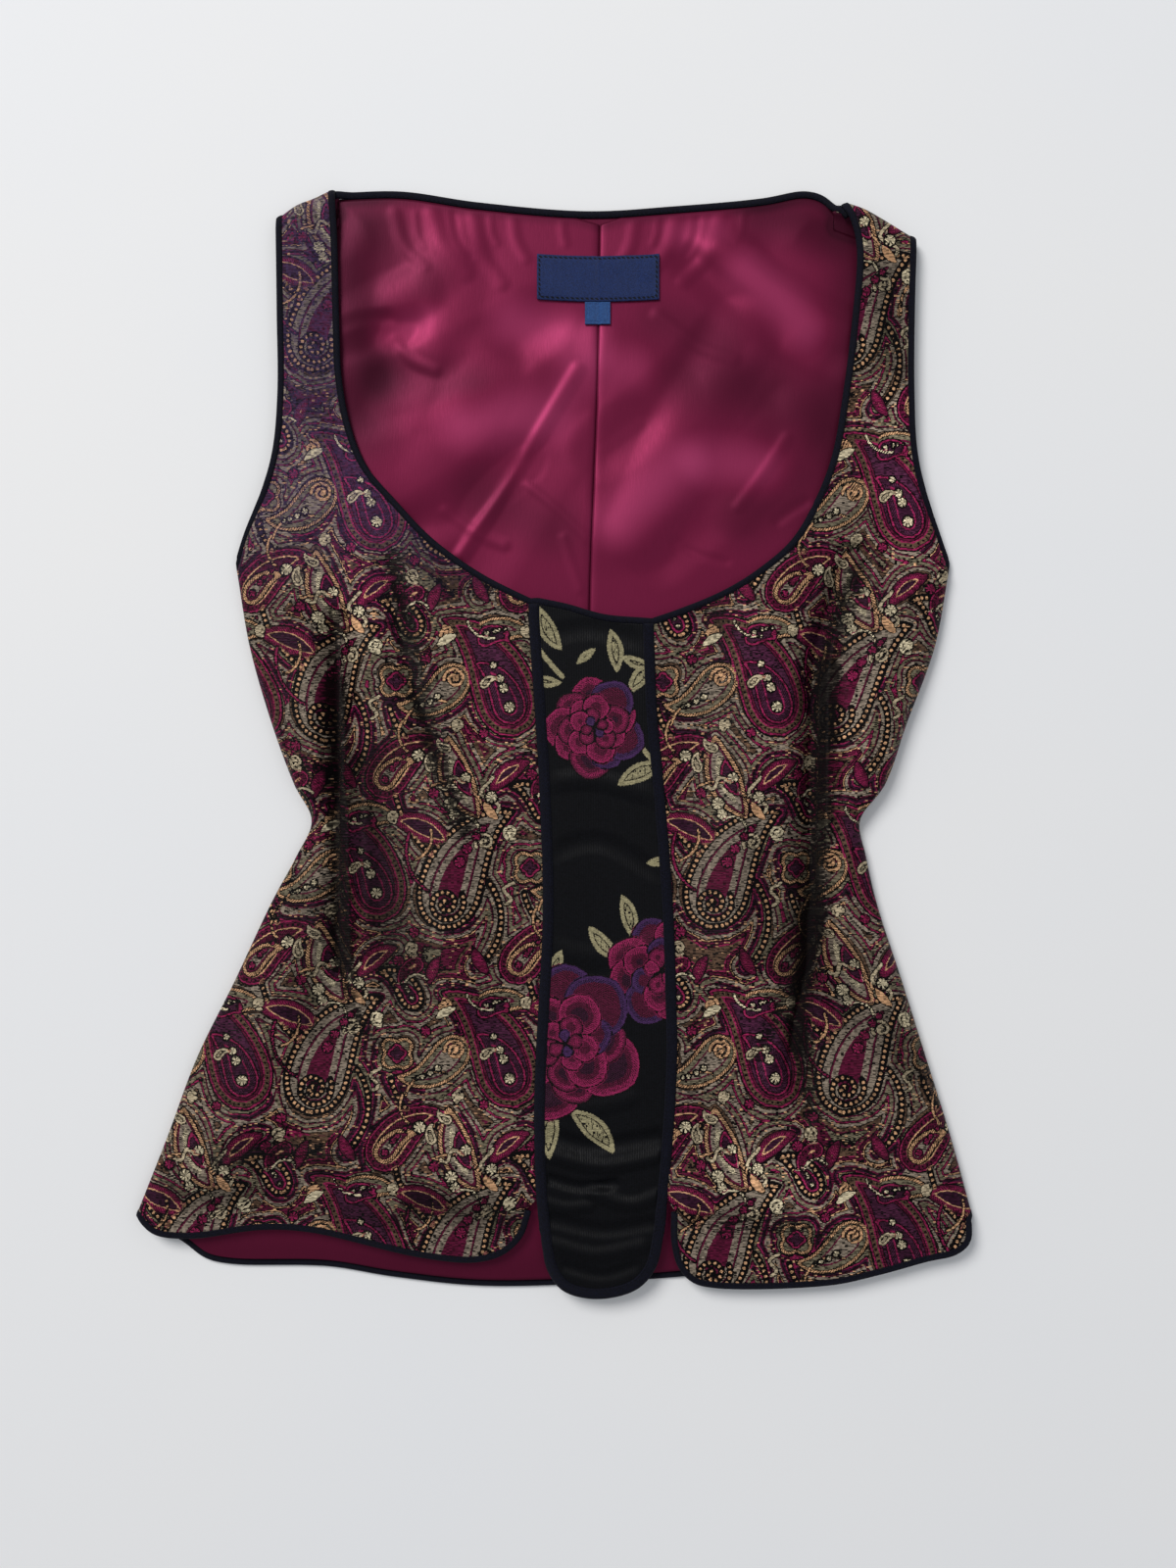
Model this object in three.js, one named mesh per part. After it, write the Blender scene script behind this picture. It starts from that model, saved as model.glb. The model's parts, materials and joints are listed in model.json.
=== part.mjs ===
// A fitted sleeveless top of lined jacquard, lying flat on its back.
// Millimetres, +X to the right of the front, +Y towards the shoulders, +Z up from the surface it lies on.
// The origin is at the bottom centre of its box. "Left" and "right" are as seen from above.
import * as THREE from "three";

// Thicknesses and gaps
const CLOTH = 1.2; // jacquard with its backing
const LINING = 1.0;
const SEAM_GAP = 0.3; // between pieces that are sewn to each other
const LAYER_GAP = 0.35; // between layers that lie on each other

// How high the cloth lies
const FRONT_LIFT = 10; // top of the fronts over the surface
const PANEL_LIFT = 11; // top of the centre panel
const FOLD_LEVEL = 4; // height of the side and shoulder seams, where front meets back
const ROLL = 10; // how far in from a seam the front has risen to its full height
const HEM_DROP = 0.8;
const EDGE_DROP = 0.2; // share of the lift that a free edge loses
const EDGE_DROP_REACH = 28;

// Bound edges
const BINDING = 4; // finished width at neck, armholes and hem
const PANEL_BINDING = 6;
const BINDING_THICK = 2.6;
const BACK_ARMHOLE_STEP = 2.5; // the back armhole lies this much inside the front one

// Finished outline, bindings included: x of the left and right edge at each height y
const SIDE_FOLDS = [
  { y: -272, left: -243, right: 242.6 },
  { y: -229, left: -226, right: 230.7 },
  { y: -183, left: -208.8, right: 216.4 },
  { y: -138, left: -186.6, right: 202.2 },
  { y: -92, left: -165, right: 187.4 },
  { y: -66, left: -151, right: 181.5 },
  { y: -45, left: -142, right: 178 },
  { y: -24, left: -152, right: 192.5 },
  { y: 11, left: -165, right: 205 },
  { y: 56, left: -178, right: 221.5 },
  { y: 100, left: -185.5, right: 229.8 },
];
const ARMHOLES = [
  { y: 108, left: -186, right: 230 },
  { y: 124, left: -182, right: 225 },
  { y: 147, left: -171.5, right: 216.5 },
  { y: 170, left: -165, right: 211.5 },
  { y: 204, left: -162, right: 209.8 },
  { y: 250, left: -162.4, right: 210 },
  { y: 296, left: -163, right: 211.3 },
  { y: 308, left: -163.2 },
];
const CENTRE_START = -270; // where the centre edges of the fronts begin
const CENTRE_EDGES = [
  { y: -281, left: -9.5, right: 64.5 },
  { y: -270, left: -10.6, right: 65.5 },
  { y: -260, left: -11.6, right: 66.5 },
  { y: -217, left: -12.7, right: 70 },
  { y: -180, left: -11.6, right: 71.6 },
  { y: -149, left: -9.9, right: 71.1 },
  { y: -98, left: -7.6, right: 69.4 },
  { y: -28, left: -9.5, right: 64.2 },
  { y: 15, left: -12, right: 60.2 },
  { y: 69, left: -15.6, right: 58 },
  { y: 80.5, left: -15.9 },
];

// Finished edges as points in order, from left to right
const LEFT_HEM = [
  { x: -244.4, y: -276 },
  { x: -233, y: -286 },
  { x: -212, y: -288.6 },
  { x: -171, y: -283.5 },
  { x: -143, y: -284.7 },
  { x: -78, y: -299.5 },
  { x: -46, y: -302.3 },
  { x: -29, y: -297.5 },
  { x: -18, y: -287 },
  { x: -12.7, y: -272 },
];
const RIGHT_HEM = [
  { x: 66.5, y: -272 },
  { x: 66.8, y: -290 },
  { x: 70.5, y: -304 },
  { x: 79, y: -313.5 },
  { x: 92, y: -317.1 },
  { x: 160, y: -315.6 },
  { x: 188, y: -309.7 },
  { x: 216, y: -302 },
  { x: 234, y: -297.5 },
  { x: 242, y: -290 },
  { x: 243.2, y: -276 },
];
const BACK_HEM = [
  { x: -244.4, y: -276 },
  { x: -233, y: -282 },
  { x: -218, y: -290.5 },
  { x: -205, y: -299.5 },
  { x: -190, y: -302.6 },
  { x: -133, y: -304 },
  { x: -94, y: -310.3 },
  { x: -38, y: -315.3 },
  { x: 66, y: -310.9 },
  { x: 130, y: -306 },
  { x: 188, y: -300 },
  { x: 232, y: -288 },
  { x: 243.2, y: -276 },
];
// Where the hem turns up to the centre panel, and the front's columns give way to its rows
const HEM_TURN = { left: { x: -29, y: -297.5 }, right: { x: 74, y: -309 } };
const TONGUE = [
  { x: -9.5, y: -281 },
  { x: -5, y: -305 },
  { x: 4, y: -317 },
  { x: 19, y: -321.8 },
  { x: 36, y: -320.8 },
  { x: 50, y: -315 },
  { x: 59.5, y: -303 },
  { x: 64.5, y: -281 },
];
const LEFT_NECK = [
  { x: -16.1, y: 85 },
  { x: -34, y: 94.5 },
  { x: -52.6, y: 106 },
  { x: -72, y: 121 },
  { x: -91, y: 141 },
  { x: -108, y: 161 },
  { x: -117, y: 182 },
  { x: -122.8, y: 212 },
  { x: -124.2, y: 243 },
  { x: -125.6, y: 296 },
  { x: -127.3, y: 322.5 },
];
const MIDDLE_NECK = [
  { x: -16.1, y: 85 },
  { x: 4, y: 81.5 },
  { x: 30, y: 75.5 },
  { x: 58, y: 73.5 },
];
const RIGHT_NECK = [
  { x: 58, y: 73.5 },
  { x: 73, y: 79 },
  { x: 99, y: 90.4 },
  { x: 119, y: 103 },
  { x: 137, y: 119 },
  { x: 150, y: 141 },
  { x: 160, y: 167 },
  { x: 167, y: 207 },
  { x: 171.4, y: 243 },
  { x: 174.5, y: 286 },
  { x: 171.5, y: 302 },
  { x: 166, y: 313.5 },
];
const BACK_NECK = [
  { x: -127.3, y: 322.5 },
  { x: -90, y: 321 },
  { x: -46, y: 315 },
  { x: 19, y: 309.3 },
  { x: 70, y: 311.5 },
  { x: 121, y: 316.5 },
  { x: 146, y: 319.8 },
  { x: 166, y: 313.5 },
];
const LEFT_SHOULDER = [
  { x: -163.2, y: 306 },
  { x: -152, y: 312.6 },
  { x: -140, y: 317 },
  { x: -127.3, y: 322.5 },
];
const RIGHT_SHOULDER = [
  { x: 166, y: 313.5 },
  { x: 178, y: 310 },
  { x: 190, y: 304.5 },
  { x: 211.3, y: 294 },
];
const BACK_SEAM = [
  { x: 18, y: -307.6 },
  { x: 20, y: 79 },
  { x: 24.5, y: 208 },
  { x: 26, y: 303.6 },
];

// Folds: each rises or sinks along a path, over half its width to either side
const FRONT_FOLDS = [
  { name: "left waist dart", half: 15, rise: -5.5, path: [[-126, 66], [-123, -126]] },
  { name: "left bust hollow", half: 18, rise: -3, path: [[-101, 100], [-71, 4]] },
  { name: "left side swell", half: 30, rise: 4.5, path: [[-153, 80], [-142, -20]] },
  { name: "left bust swell", half: 38, rise: 6.5, path: [[-100, 45], [-62, -40], [-60, -140]] },
  { name: "left hip swell", half: 34, rise: 4.5, path: [[-160, -130], [-190, -240]] },
  { name: "left hem wave", half: 26, rise: 4, path: [[-120, -235], [-50, -250]] },
  {
    name: "right waist dart",
    half: 16,
    rise: -6.5,
    path: [[172, 105], [155, 45], [153, -130], [140, -190]],
  },
  { name: "right side swell", half: 26, rise: 4.5, path: [[203, 75], [184, -10]] },
  { name: "right bust swell", half: 38, rise: 7.5, path: [[118, 60], [112, -30], [112, -120]] },
  { name: "right hip swell", half: 30, rise: 4.5, path: [[180, -130], [208, -250]] },
  { name: "right hem wave", half: 22, rise: 4.5, path: [[80, -258], [150, -262]] },
];
const LINING_FOLDS = [
  { name: "left long fold", half: 24, rise: 2, path: [[-40, 222], [-54, 180], [-72, 150]] },
  { name: "left cross fold", half: 22, rise: 1, path: [[-90, 203], [-66, 198], [-36, 210]] },
  { name: "left shoulder fold", half: 20, rise: 1.4, path: [[-88, 258], [-76, 268], [-62, 286]] },
  { name: "right long fold", half: 24, rise: 2.8, path: [[110, 240], [74, 180], [50, 122]] },
  { name: "right cross fold", half: 20, rise: 2.4, path: [[100, 288], [122, 262], [142, 242]] },
  { name: "right low fold", half: 22, rise: 2.2, path: [[140, 190], [104, 140]] },
];

// Label and size tab, both bare: their lower left corner, their size and how far their long edges sag
const LABEL = { x: -10.4, y: 258.9, width: 71.2, height: 26.4, sag: 1.2 };
const SIZE_TAB = { x: 17.5, y: 244.3, width: 14.8, height: 13, sag: 0 };
const LABEL_THICK = 0.8;

// How finely the cloth is divided
const SIDE_ROWS = 16;
const ARM_ROWS = 8;
const FRONT_COLUMNS = 15;
const BACK_COLUMNS = 12;
const LINING_COLUMNS = 8;
const PANEL_ROWS = 17;
const PANEL_COLUMNS = 8;
const TURN_STEPS = [0, 8, 16, 24]; // the first rows, up a side fold, as the hem turns at the other side
const TURN_END = 30; // where the even rows start
const STRAP_COLUMNS = 2; // columns of the back between its side rolls and the neck

// Where a seam rolls over, the cloth is divided at these shares of the roll
const ROLL_SHARES = [0, 30, 60].map((angle) => 1 - Math.cos(THREE.MathUtils.degToRad(angle)));
const TURN_ROWS = TURN_STEPS.length - 1;
const ARMPIT = TURN_STEPS.length + SIDE_ROWS; // row of the armpit

const LINING_TOP = CLOTH + SEAM_GAP + LINING;
const LINING_MARGIN = 11; // from the lining's edge to a side fold
const LINING_EDGE = 1; // from the lining's edge to a binding
const CENTRE_GAP = 0.5; // from the fronts to the centre panel's binding
const NECK_CORNER = 8; // the first stretch of the back's neck edge, where the strap's curl fades out
const LOWEST_FRONT = LINING_TOP + LAYER_GAP + CLOTH;
const bindingInset = BINDING + SEAM_GAP;

const { lerp, clamp } = THREE.MathUtils;
const smooth = (t) => THREE.MathUtils.smoothstep(t, 0, 1);
const quarterCircle = (t) => Math.sqrt(1 - (1 - clamp(t, 0, 1)) ** 2);
const evenly = (from, to, steps) => Array.from({ length: steps + 1 }, (_, i) => lerp(from, to, i / steps));
const reversed = (list) => list.slice().reverse();

const flat = ({ x, y }) => new THREE.Vector3(x, y, 0);
const column = (table, key) =>
  table.filter((row) => row[key] !== undefined).map((row) => flat({ x: row[key], y: row.y }));

// Points of a smooth curve through a list of points, at the distances that stops(length) gives
function sample(through, stops) {
  const curve = new THREE.CatmullRomCurve3(through, false, "centripetal");
  curve.arcLengthDivisions = 600;
  const length = curve.getLength();
  return stops(length).map((distance) => curve.getPointAt(clamp(distance / length, 0, 1)));
}
const steps = (count) => (length) => evenly(0, length, count);
const sideStops = (length) => [...TURN_STEPS, ...evenly(TURN_END, length, SIDE_ROWS)];
const centreStops = (length) => evenly(TURN_END - TURN_STEPS.at(-1), length, SIDE_ROWS);
const armStops = (length) => [
  ...evenly(0, length - ROLL, ARM_ROWS),
  ...reversed(ROLL_SHARES).map((share) => length - share * ROLL),
];

// A path in the plane moved to its left
function inset(path, distance) {
  return path.map((p, i) => {
    const before = path[Math.max(i - 1, 0)];
    const after = path[Math.min(i + 1, path.length - 1)];
    const left = new THREE.Vector3(before.y - after.y, after.x - before.x, 0).normalize();
    return p.clone().addScaledVector(left, distance);
  });
}

// A path stretched so that it runs between two points
function fitted(path, start, end) {
  const first = start.clone().sub(path[0]);
  const last = end.clone().sub(path.at(-1));
  return path.map((p, i) => {
    const t = i / (path.length - 1);
    return p.clone().addScaledVector(first, 1 - t).addScaledVector(last, t);
  });
}

const withEnds = (path, start, end) => [start, ...path.slice(1, -1), end];

// Share of a path's length at each of its points, and the point at a share
function shares(path) {
  const sums = [0];
  for (let i = 1; i < path.length; i++) sums.push(sums[i - 1] + path[i].distanceTo(path[i - 1]));
  return sums.map((sum) => sum / sums.at(-1));
}
function pointAt(path, fractions, share) {
  let i = 1;
  while (i < path.length - 1 && fractions[i] < share) i++;
  const t = (share - fractions[i - 1]) / (fractions[i] - fractions[i - 1]);
  return path[i - 1].clone().lerp(path[i], t);
}

// A grid of points between four edges. It has a row for each point of left and right, and
// stations(width, height share) gives the columns of a row as shares of its width.
function patch({ left, right, bottom, top }, stations) {
  const [leftShares, rightShares, bottomShares, topShares] = [left, right, bottom, top].map(shares);
  return left.map((start, row) => {
    const width = start.distanceTo(right[row]);
    return stations(width, (leftShares[row] + rightShares[row]) / 2).map((u) => {
      const v = lerp(leftShares[row], rightShares[row], u);
      const lower = bottom[0].clone().lerp(bottom.at(-1), u);
      const upper = top[0].clone().lerp(top.at(-1), u);
      return start.clone().lerp(right[row], u)
        .addScaledVector(pointAt(bottom, bottomShares, u).sub(lower), 1 - v)
        .addScaledVector(pointAt(top, topShares, u).sub(upper), v);
    });
  });
}
const evenStations = (count) => () => evenly(0, 1, count);

// Height that folds add at a point: each rises along its path and fades out at half its width
function foldHeight(folds, point) {
  const nearest = new THREE.Vector3();
  let height = 0;
  for (const { half, rise, path } of folds) {
    const corners = path.map(([x, y]) => new THREE.Vector3(x, y, 0));
    const distances = corners.slice(1).map((corner, i) => {
      new THREE.Line3(corners[i], corner).closestPointToPoint(point, true, nearest);
      return nearest.distanceTo(point);
    });
    const t = Math.min(Math.min(...distances) / half, 1);
    height += rise * (1 - t * t) ** 2;
  }
  return height;
}

// The outward directions of a grid. Where level(row, column) holds, the cloth stands upright.
function normals(grid, level = () => false) {
  const lastRow = grid.length - 1;
  return grid.map((line, row) =>
    line.map((_, i) => {
      const across = line[Math.min(i + 1, line.length - 1)].clone().sub(line[Math.max(i - 1, 0)]);
      const along = grid[Math.min(row + 1, lastRow)][i].clone().sub(grid[Math.max(row - 1, 0)][i]);
      const normal = across.cross(along);
      return (level(row, i) ? normal.setZ(0) : normal).normalize();
    }),
  );
}
const moved = (grid, directions, distance) =>
  grid.map((line, row) => line.map((p, i) => p.clone().addScaledVector(directions[row][i], distance)));

// A closed solid from its points and faces, with its faces turned outwards
function solid(points, faces) {
  const volume = faces.reduce((sum, [a, b, c]) => {
    return sum + points[a].dot(points[b].clone().cross(points[c]));
  }, 0);
  const turned = volume < 0 ? faces.map(([a, b, c]) => [a, c, b]) : faces;
  const geometry = new THREE.BufferGeometry().setFromPoints(points);
  geometry.setIndex(turned.flat());
  geometry.computeVertexNormals();
  return geometry;
}
const quad = (a, b, c, d) => [[a, b, c], [a, c, d]];

// The wall between an upper and a lower grid
function wall({ upper, lower }) {
  const columns = upper[0].length;
  const size = upper.length * columns;
  const faces = [];
  for (let row = 0; row < upper.length - 1; row++)
    for (let i = 0; i < columns - 1; i++) {
      const a = row * columns + i;
      const b = a + columns;
      faces.push(...quad(a, a + 1, b + 1, b), ...quad(size + a, size + b, size + b + 1, size + a + 1));
    }
  const rim = rimOf(upper.length, columns);
  rim.forEach((a, i) => {
    const b = rim[(i + 1) % rim.length];
    faces.push(...quad(size + a, size + b, b, a));
  });
  return solid([...upper.flat(), ...lower.flat()], faces);
}
function rimOf(rows, columns) {
  const rim = [];
  for (let i = 0; i < columns - 1; i++) rim.push(i);
  for (let row = 0; row < rows - 1; row++) rim.push(row * columns + columns - 1);
  for (let i = columns - 1; i > 0; i--) rim.push((rows - 1) * columns + i);
  for (let row = rows - 1; row > 0; row--) rim.push(row * columns);
  return rim;
}

// A run of a wall's edge: the middle of its thickness and its outward direction at each point
function edge({ upper, lower }, cells) {
  return cells.map(([row, i]) => ({
    point: upper[row][i].clone().lerp(lower[row][i], 0.5),
    normal: upper[row][i].clone().sub(lower[row][i]).normalize(),
  }));
}
const columnEdge = (cloth, i, from, to) =>
  edge(cloth, evenly(from, to, Math.abs(to - from)).map((row) => [Math.round(row), i]));
const rowEdge = (cloth, row, from, to) =>
  edge(cloth, evenly(from, to, Math.abs(to - from)).map((i) => [row, Math.round(i)]));

// Half of a binding's section, out from the edge that it covers and up from the middle of the cloth
const BINDING_SECTION = [
  { out: 0, up: -0.36 },
  { out: 0.5, up: -0.5 },
  { out: 1, up: 0 },
  { out: 0.5, up: 0.5 },
  { out: 0, up: 0.36 },
];

// A binding along an edge whose cloth lies to the left of its run, or to the right. An end reaches to the
// corner given for it, or stops just short of the edge's own end. It is thick and lifted where the cloth
// lies flat, and as thin as the cloth where that stands up at a seam.
function binding(run, { clothOn, width = BINDING, corners = [], lift = 0 }) {
  const side = clothOn === "left" ? 1 : -1;
  const last = run.length - 1;
  const points = run.flatMap(({ point, normal }, i) => {
    const before = run[Math.max(i - 1, 0)].point;
    const after = run[Math.min(i + 1, last)].point;
    const out = after.clone().sub(before).cross(normal).setZ(0).setLength(side * width);
    const start = point.clone();
    const corner = i === 0 ? corners[0] : i === last ? corners[1] : undefined;
    if (corner) {
      out.copy(flat(corner)).sub(point).setZ(0);
      out.setLength(out.length() - SEAM_GAP);
    } else if (i === 0 || i === last) {
      const inwards = i === 0 ? after : before;
      start.lerp(inwards, SEAM_GAP / start.distanceTo(inwards));
    }
    start.addScaledVector(out, SEAM_GAP / out.length());
    start.z += lift * normal.z;
    const thick = lerp(CLOTH, BINDING_THICK, normal.z);
    return BINDING_SECTION.map((s) =>
      start.clone().addScaledVector(out, s.out).addScaledVector(normal, s.up * thick),
    );
  });
  const ring = BINDING_SECTION.length;
  const faces = [];
  for (let i = 0; i < last; i++)
    for (let k = 0; k < ring; k++) {
      const a = i * ring + k;
      const b = i * ring + ((k + 1) % ring);
      faces.push(...quad(a, b, b + ring, a + ring));
    }
  for (let k = 1; k < ring - 1; k++) {
    faces.push([0, k + 1, k], [last * ring, last * ring + k, last * ring + k + 1]);
  }
  return solid(points, faces);
}

// Edges that the fronts, the back and the lining share, all running up or from left to right
const folds = {
  left: sample(column(SIDE_FOLDS, "left"), sideStops),
  right: sample(column(SIDE_FOLDS, "right"), sideStops),
};
const armholes = {
  left: sample(column(ARMHOLES, "left"), armStops),
  right: sample(column(ARMHOLES, "right"), armStops),
};
const shoulders = { left: LEFT_SHOULDER.map(flat), right: RIGHT_SHOULDER.map(flat) };

// The outer edge of a front or of the back: up the side fold, then round the armhole
function outerEdge(side, armholeInset) {
  const hole = inset(armholes[side], side === "left" ? -armholeInset : armholeInset);
  return [...folds[side], ...hole.slice(1)];
}

// Height of a front's face: it rolls up from the side and shoulder seams and sinks at free edges
function frontHeight(point, row, reach) {
  const pastArmpit = row - ARMPIT;
  const side = lerp(quarterCircle(reach.outer / ROLL), 1, smooth(pastArmpit / 2));
  const shoulder = quarterCircle(reach.top / ROLL);
  const armhole = smooth(pastArmpit / 2) * (1 - smooth(reach.outer / EDGE_DROP_REACH));
  const neck = smooth(pastArmpit / 3) * (1 - smooth(reach.inner / EDGE_DROP_REACH));
  const hem = HEM_DROP * (1 - smooth(reach.bottom / EDGE_DROP_REACH));
  const rise = FRONT_LIFT - FOLD_LEVEL + foldHeight(FRONT_FOLDS, point) - hem;
  const height = rise * side * shoulder * (1 - EDGE_DROP * Math.max(armhole, neck));
  return Math.max(FOLD_LEVEL + SEAM_GAP / 2 + height, LOWEST_FRONT);
}

function front(side) {
  const isLeft = side === "left";
  const inward = isLeft ? -1 : 1;
  const outer = outerEdge(side, bindingInset);
  const centreTable = CENTRE_EDGES.filter(({ y }) => y >= CENTRE_START);
  const centre = inset(sample(column(centreTable, side), centreStops), -inward * CENTRE_GAP);
  const neckline = inset(
    sample((isLeft ? LEFT_NECK : RIGHT_NECK).map(flat), armStops),
    -inward * bindingInset,
  );
  const columns = ROLL_SHARES.length + FRONT_COLUMNS;
  const outline = isLeft ? LEFT_HEM : reversed(RIGHT_HEM);
  const hemLine = inset(sample(outline.map(flat), steps(4 * columns)), -inward * bindingInset);
  const turn = hemLine.findIndex((p) => (p.x - HEM_TURN[side].x) * inward < 0);
  const hem = [outer[0], ...hemLine.slice(1, turn + 1)];
  const inner = [...sample(hemLine.slice(turn), steps(TURN_ROWS)), ...centre, ...neckline.slice(1)];
  const [left, right] = isLeft ? [outer, inner] : [inner, outer];
  const top = fitted(sample(shoulders[side], steps(columns)), left.at(-1), right.at(-1));
  const stations = (width) => {
    const roll = ROLL / width;
    const across = [...ROLL_SHARES.map((share) => share * roll), ...evenly(roll, 1, FRONT_COLUMNS)];
    return isLeft ? across : reversed(across.map((u) => 1 - u));
  };
  const plan = patch({ left, right, bottom: isLeft ? hem : reversed(hem), top }, stations);
  const outerColumn = isLeft ? 0 : columns;
  const innerColumn = columns - outerColumn;
  const upper = plan.map((line, row) =>
    line.map((p, i) => {
      const reach = {
        outer: p.distanceTo(line[outerColumn]),
        inner: p.distanceTo(line[innerColumn]),
        top: p.distanceTo(plan.at(-1)[i]),
        bottom: p.distanceTo(plan[0][i]),
      };
      return p.clone().setZ(frontHeight(p, row, reach));
    }),
  );
  const lastRow = upper.length - 1;
  const atSeam = (row, i) => row === lastRow || (i === outerColumn && row <= ARMPIT);
  return { upper, lower: moved(upper, normals(upper, atSeam), -CLOTH), outerColumn, innerColumn, lastRow };
}

// The centre panel, inside the binding of its sides and its round lower end
function centrePanel() {
  const width = PANEL_BINDING + SEAM_GAP;
  const left = inset(sample(column(CENTRE_EDGES, "left"), steps(PANEL_ROWS)), -width);
  const right = inset(sample(column(CENTRE_EDGES, "right"), steps(PANEL_ROWS)), width);
  const tongue = inset(sample(TONGUE.map(flat), steps(4 * PANEL_COLUMNS)), width);
  const bottom = fitted(tongue, left[0], right[0]);
  const neckline = inset(sample(MIDDLE_NECK.map(flat), steps(PANEL_COLUMNS)), -bindingInset);
  const ends = [left.at(-1), right.at(-1)].map((p, i) => p.clone().setY(neckline.at(-i).y));
  const top = fitted(neckline, ...ends);
  const plan = patch(
    { left: withEnds(left, left[0], ends[0]), right: withEnds(right, right[0], ends[1]), bottom, top },
    evenStations(PANEL_COLUMNS),
  );
  const upper = plan.map((line) => line.map((p) => p.setZ(PANEL_LIFT)));
  return { upper, lower: moved(upper, normals(upper), -CLOTH) };
}

// The back lies on the surface, and curls up to the side and shoulder seams
function back() {
  const left = outerEdge("left", bindingInset + BACK_ARMHOLE_STEP);
  const right = outerEdge("right", bindingInset + BACK_ARMHOLE_STEP);
  const hem = inset(sample(BACK_HEM.map(flat), steps(3 * BACK_COLUMNS)), bindingInset);
  const neckSteps = BACK_COLUMNS - 2 * STRAP_COLUMNS;
  const neckline = inset(sample(BACK_NECK.map(flat), steps(neckSteps)), -bindingInset);
  const strapSteps = 4;
  const straps = [
    fitted(sample(shoulders.left, steps(strapSteps)), left.at(-1), neckline[0]),
    fitted(sample(shoulders.right, steps(strapSteps)), neckline.at(-1), right.at(-1)),
  ];
  const top = [...straps[0], ...neckline.slice(1, -1), ...straps[1]];
  const topShares = shares(top);
  const neckShares = [topShares[strapSteps], topShares[strapSteps + neckSteps]];
  const stations = (width, height) => {
    const roll = ROLL / width;
    const bottomRow = evenly(roll, 1 - roll, BACK_COLUMNS);
    const corner = NECK_CORNER / width;
    const topRow = [
      ...evenly(roll, neckShares[0], STRAP_COLUMNS),
      ...evenly(neckShares[0] + corner, neckShares[1] - corner, neckSteps - 2),
      ...evenly(neckShares[1], 1 - roll, STRAP_COLUMNS),
    ];
    const middle = bottomRow.map((u, i) => lerp(u, topRow[i], height));
    const rolls = ROLL_SHARES.map((share) => share * roll);
    return [...rolls, ...middle, ...reversed(rolls.map((u) => 1 - u))];
  };
  const plan = patch({ left, right, bottom: withEnds(hem, left[0], right[0]), top }, stations);
  const lastRow = plan.length - 1;
  const lastColumn = plan[0].length - 1;
  const neckColumn = ROLL_SHARES.length + STRAP_COLUMNS;
  const onStrap = (i) => i <= neckColumn || i >= lastColumn - neckColumn;
  const lower = plan.map((line, row) =>
    line.map((p, i) => {
      const toSide = row <= ARMPIT ? Math.min(p.distanceTo(line[0]), p.distanceTo(line[lastColumn])) : ROLL;
      const toShoulder = onStrap(i) ? p.distanceTo(plan[lastRow][i]) : ROLL;
      const curl = 1 - quarterCircle(Math.min(toSide, toShoulder) / ROLL);
      return p.clone().setZ((FOLD_LEVEL - SEAM_GAP / 2) * curl);
    }),
  );
  const atSeam = (row, i) =>
    (row === lastRow && onStrap(i)) || (row <= ARMPIT && (i === 0 || i === lastColumn));
  return { upper: moved(lower, normals(lower, atSeam), CLOTH), lower, lastRow, lastColumn, neckColumn };
}

// The back's lining, in two halves that meet at its centre seam and take its folds in the neck opening
function lining(side, cloth) {
  const isLeft = side === "left";
  const far = cloth.lastColumn;
  const rows = cloth.lower.slice(0, -ROLL_SHARES.length).map((line) => (isLeft ? line : reversed(line)));
  const margin = (row) => (row > ARMPIT + 1 ? LINING_EDGE : LINING_MARGIN / (row > ARMPIT ? 2 : 1));
  const level = (p) => p.clone().setZ(0);
  const towards = (p, q, distance) => level(p).lerp(level(q), distance / level(p).distanceTo(level(q)));
  const outer = rows.map((line, row) => towards(line[0], line[far], margin(row)));
  outer[0] = towards(outer[0], outer[1], LINING_EDGE);
  const seam = inset(sample(BACK_SEAM.map(flat), steps(rows.length - 1)), (isLeft ? 1 : -1) * SEAM_GAP / 2);
  const beforeSeam = (p, end) => (isLeft ? p.x < end.x - LINING_MARGIN : p.x > end.x + LINING_MARGIN);
  const hem = rows[0]
    .map((p, i) => towards(p, rows[1][i], LINING_EDGE))
    .filter((p, i) => i > ROLL_SHARES.length && beforeSeam(p, seam[0]));
  const [lastLine, neckLine] = [cloth.lastRow - 1, cloth.lastRow].map((row) =>
    isLeft ? cloth.lower[row] : reversed(cloth.lower[row]),
  );
  const neck = neckLine
    .map((p, i) => towards(p, lastLine[i], LINING_EDGE))
    .filter((p, i) => i > cloth.neckColumn && beforeSeam(p, seam.at(-1)));
  const strapCorner = level(rows.at(-1)[cloth.neckColumn]);
  const bottom = [outer[0], ...hem, seam[0]];
  const top = [outer.at(-1), strapCorner, ...neck, seam.at(-1)];
  const edges = isLeft
    ? { left: outer, right: seam, bottom, top }
    : { left: seam, right: outer, bottom: reversed(bottom), top: reversed(top) };
  const plan = patch(edges, evenStations(LINING_COLUMNS));
  const upper = plan.map((line) =>
    line.map((p, i) => {
      const reach = Math.min(p.distanceTo(plan.at(-1)[i]), p.distanceTo(line[isLeft ? 0 : LINING_COLUMNS]));
      return p.clone().setZ(LINING_TOP + smooth(reach / EDGE_DROP_REACH) * foldHeight(LINING_FOLDS, p));
    }),
  );
  return { upper, lower: moved(upper, normals(upper), -LINING) };
}

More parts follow.
